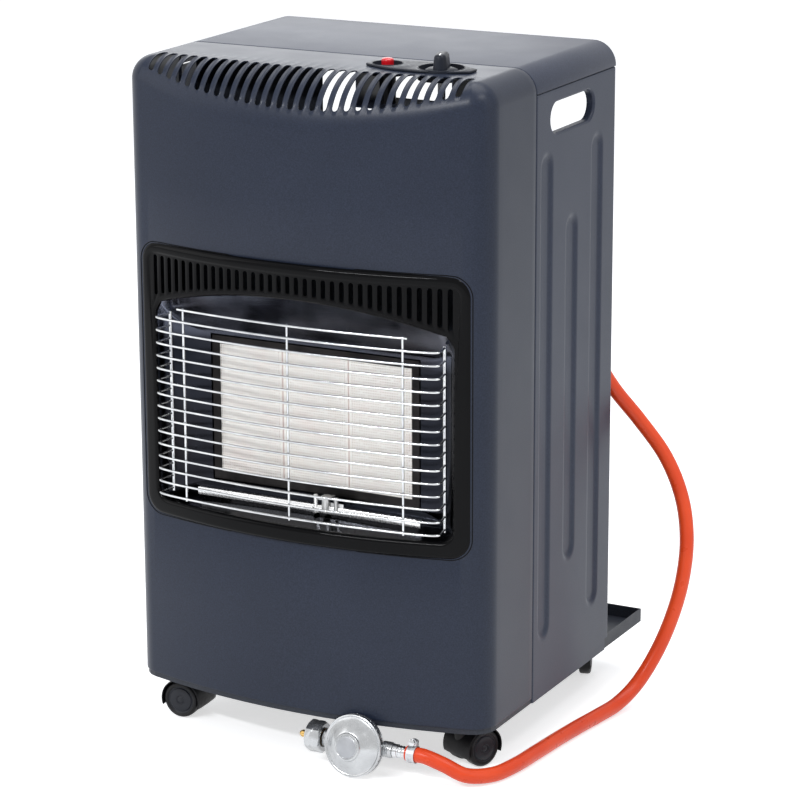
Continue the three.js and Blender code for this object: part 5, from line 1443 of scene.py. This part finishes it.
def hose_clip(name, at):
    """A worm-drive clip: a slotted band, its housing and a screw with a hexagon head."""
    profile = [(8.62, -4.5), (9.3, -4.5), (9.5, -4.3), (9.5, 4.3), (9.3, 4.5), (8.62, 4.5)]
    band = hoop("band", profile, GALVANISED, 64, turned(90, "Y"))
    slots = []
    slant = [(-2.6, -0.35), (2.6, 0.05), (2.6, 0.5), (-2.6, 0.1)]
    for i in range(26):
        thread = prism("thread", slant, 9.15, 10.2, GALVANISED)
        thread.data.transform(turned(40 + 280 * i / 25, "X"))
        slots.append(thread)
    carve(band, slots, 40)
    screw_z = 12.6
    lay = place_at(0, 0, screw_z, turned(90, "X"))
    screw = lathe("screw", [(0, -6), (2.2, -6), (2.8, -5.4), (2.8, 3.4), (0, 3.4)], CHROME, 24, lay)
    head = prism("head", circle(4, 6), 3, 6.8, CHROME)
    round_edges(head, 0.4)
    settle(head)
    head.data.transform(lay)
    hood = [(4.2 * math.cos(math.pi * i / 10), screw_z + 4 * math.sin(math.pi * i / 10)) for i in range(11)]
    cover = prism("cover", [(4.4, 9.2), *hood, (-4.4, 9.2)], -4.2, 2.6, GALVANISED, "y")
    round_edges(cover, 0.4)
    settle(cover)
    whole = join(name, [band, screw, head, cover], 40)
    whole.data.transform(at)
    return whole


fit(regulator_cap(), "cabinet", "cast_zinc", "regulator_cap")
fit(regulator_body(), "cabinet", "cast_zinc", "regulator_body")
fit(union_nut(), "union_nut", "cast_zinc", "regulator_nut")
fit(nozzle(), "cabinet", "brass", "regulator_nozzle")
fit(outlet(), "cabinet", "chrome_wire", "regulator_outlet")
at = REGULATOR @ place_at(OUTLET_END + GAP + 7, REGULATOR_AXIS, 0)
fit(hose_clip("outlet_clip", at), "cabinet", "zinc_steel", "outlet_hose_clip")
at = place_at(NOZZLE_X, NOZZLE_REAR + GAP + 9, NOZZLE_Z, turned(90, "Z"))
fit(hose_clip("inlet_clip", at), "cabinet", "zinc_steel", "inlet_hose_clip")

# ---------------------------------------------------------------- floor, backdrop and lamps


def plainly_seen(tree):
    """1 for rays from the camera, off gloss and through glass, 0 for the others."""
    rays = tree.nodes.new("ShaderNodeLightPath")
    seen = rays.outputs["Is Camera Ray"]
    for kind in ("Is Glossy Ray", "Is Transmission Ray"):
        either = tree.nodes.new("ShaderNodeMath")
        either.operation = "MAXIMUM"
        tree.links.new(seen, either.inputs[0])
        tree.links.new(rays.outputs[kind], either.inputs[1])
        seen = either.outputs["Value"]
    return seen


def stage_material():
    """Pale floor: white to the camera where it is lit, with the object's shadow kept."""
    graph = Graph("pale_floor")
    graph.set(Roughness=0.9, Specular_IOR_Level=0.1)
    graph.colour(graph.ramp(graph.noise(3, 2), [(0.3, (0.83, 0.83, 0.84)), (0.7, (0.86, 0.86, 0.86))]))
    graph.shader.inputs["Emission Color"].default_value = (1, 1, 1, 1)
    glow = graph.node("ShaderNodeMath", operation="MULTIPLY")
    glow.inputs[1].default_value = 0.62
    graph.link(plainly_seen(graph.tree), glow.inputs[0])
    graph.link(glow.outputs["Value"], graph.shader.inputs["Emission Strength"])
    return graph.material


FLOOR_HALF, FLOOR_Z = 6000, -0.4
corners = [(x * FLOOR_HALF, y * FLOOR_HALF, FLOOR_Z) for x, y in ((-1, -1), (1, -1), (1, 1), (-1, 1))]
floor = build("floor", corners, [(0, 1, 2, 3)], stage_material())

world = bpy.data.worlds.new("studio")
scene.world = world
world.use_nodes = True
tree = world.node_tree
ground = tree.nodes["Background"]
ground.inputs["Color"].default_value = (0.9, 0.95, 1.0, 1)
ground.inputs["Strength"].default_value = 0.48
white = tree.nodes.new("ShaderNodeBackground")
white.inputs["Color"].default_value = (1, 1, 1, 1)
white.inputs["Strength"].default_value = 1.0
blend = tree.nodes.new("ShaderNodeMixShader")
tree.links.new(plainly_seen(tree), blend.inputs["Fac"])
tree.links.new(ground.outputs["Background"], blend.inputs[1])
tree.links.new(white.outputs["Background"], blend.inputs[2])
tree.links.new(blend.outputs["Shader"], tree.nodes["World Output"].inputs["Surface"])


def lamp(name, at, aim, size, power, colour=(1, 1, 1)):
    """A soft box, in metres and watts."""
    data = bpy.data.lights.new(name, "AREA")
    data.shape = "RECTANGLE"
    data.size, data.size_y = size
    data.energy = power
    data.color = colour
    light = bpy.data.objects.new(name, data)
    scene.collection.objects.link(light)
    light.location = at
    light.rotation_euler = (Vector(aim) - Vector(at)).to_track_quat("-Z", "Y").to_euler()


lamp("overhead", (0.1, 0.3, 2.6), (0, 0, 0.4), (2.0, 1.4), 30)
lamp("corner", (1.6, -0.7, 2.5), (0.15, -0.1, 0.65), (0.9, 0.5), 14)
lamp("rear", (-1.9, 2.5, 1.5), (0, 0.1, 0.7), (1.8, 1.0), 8, (0.94, 0.97, 1))
lamp("left", (-2.2, -1.6, 1.5), (0, -0.1, 0.4), (1.2, 2.0), 10)
lamp("right", (2.4, -0.3, 1.3), (0, 0, 0.35), (1.2, 2.0), 5)
lamp("strip", (-0.5, -2.8, 2.3), (0, -0.2, 0.5), (1.5, 0.15), 50, (0.97, 0.98, 1))

scene.view_settings.view_transform = "Standard"
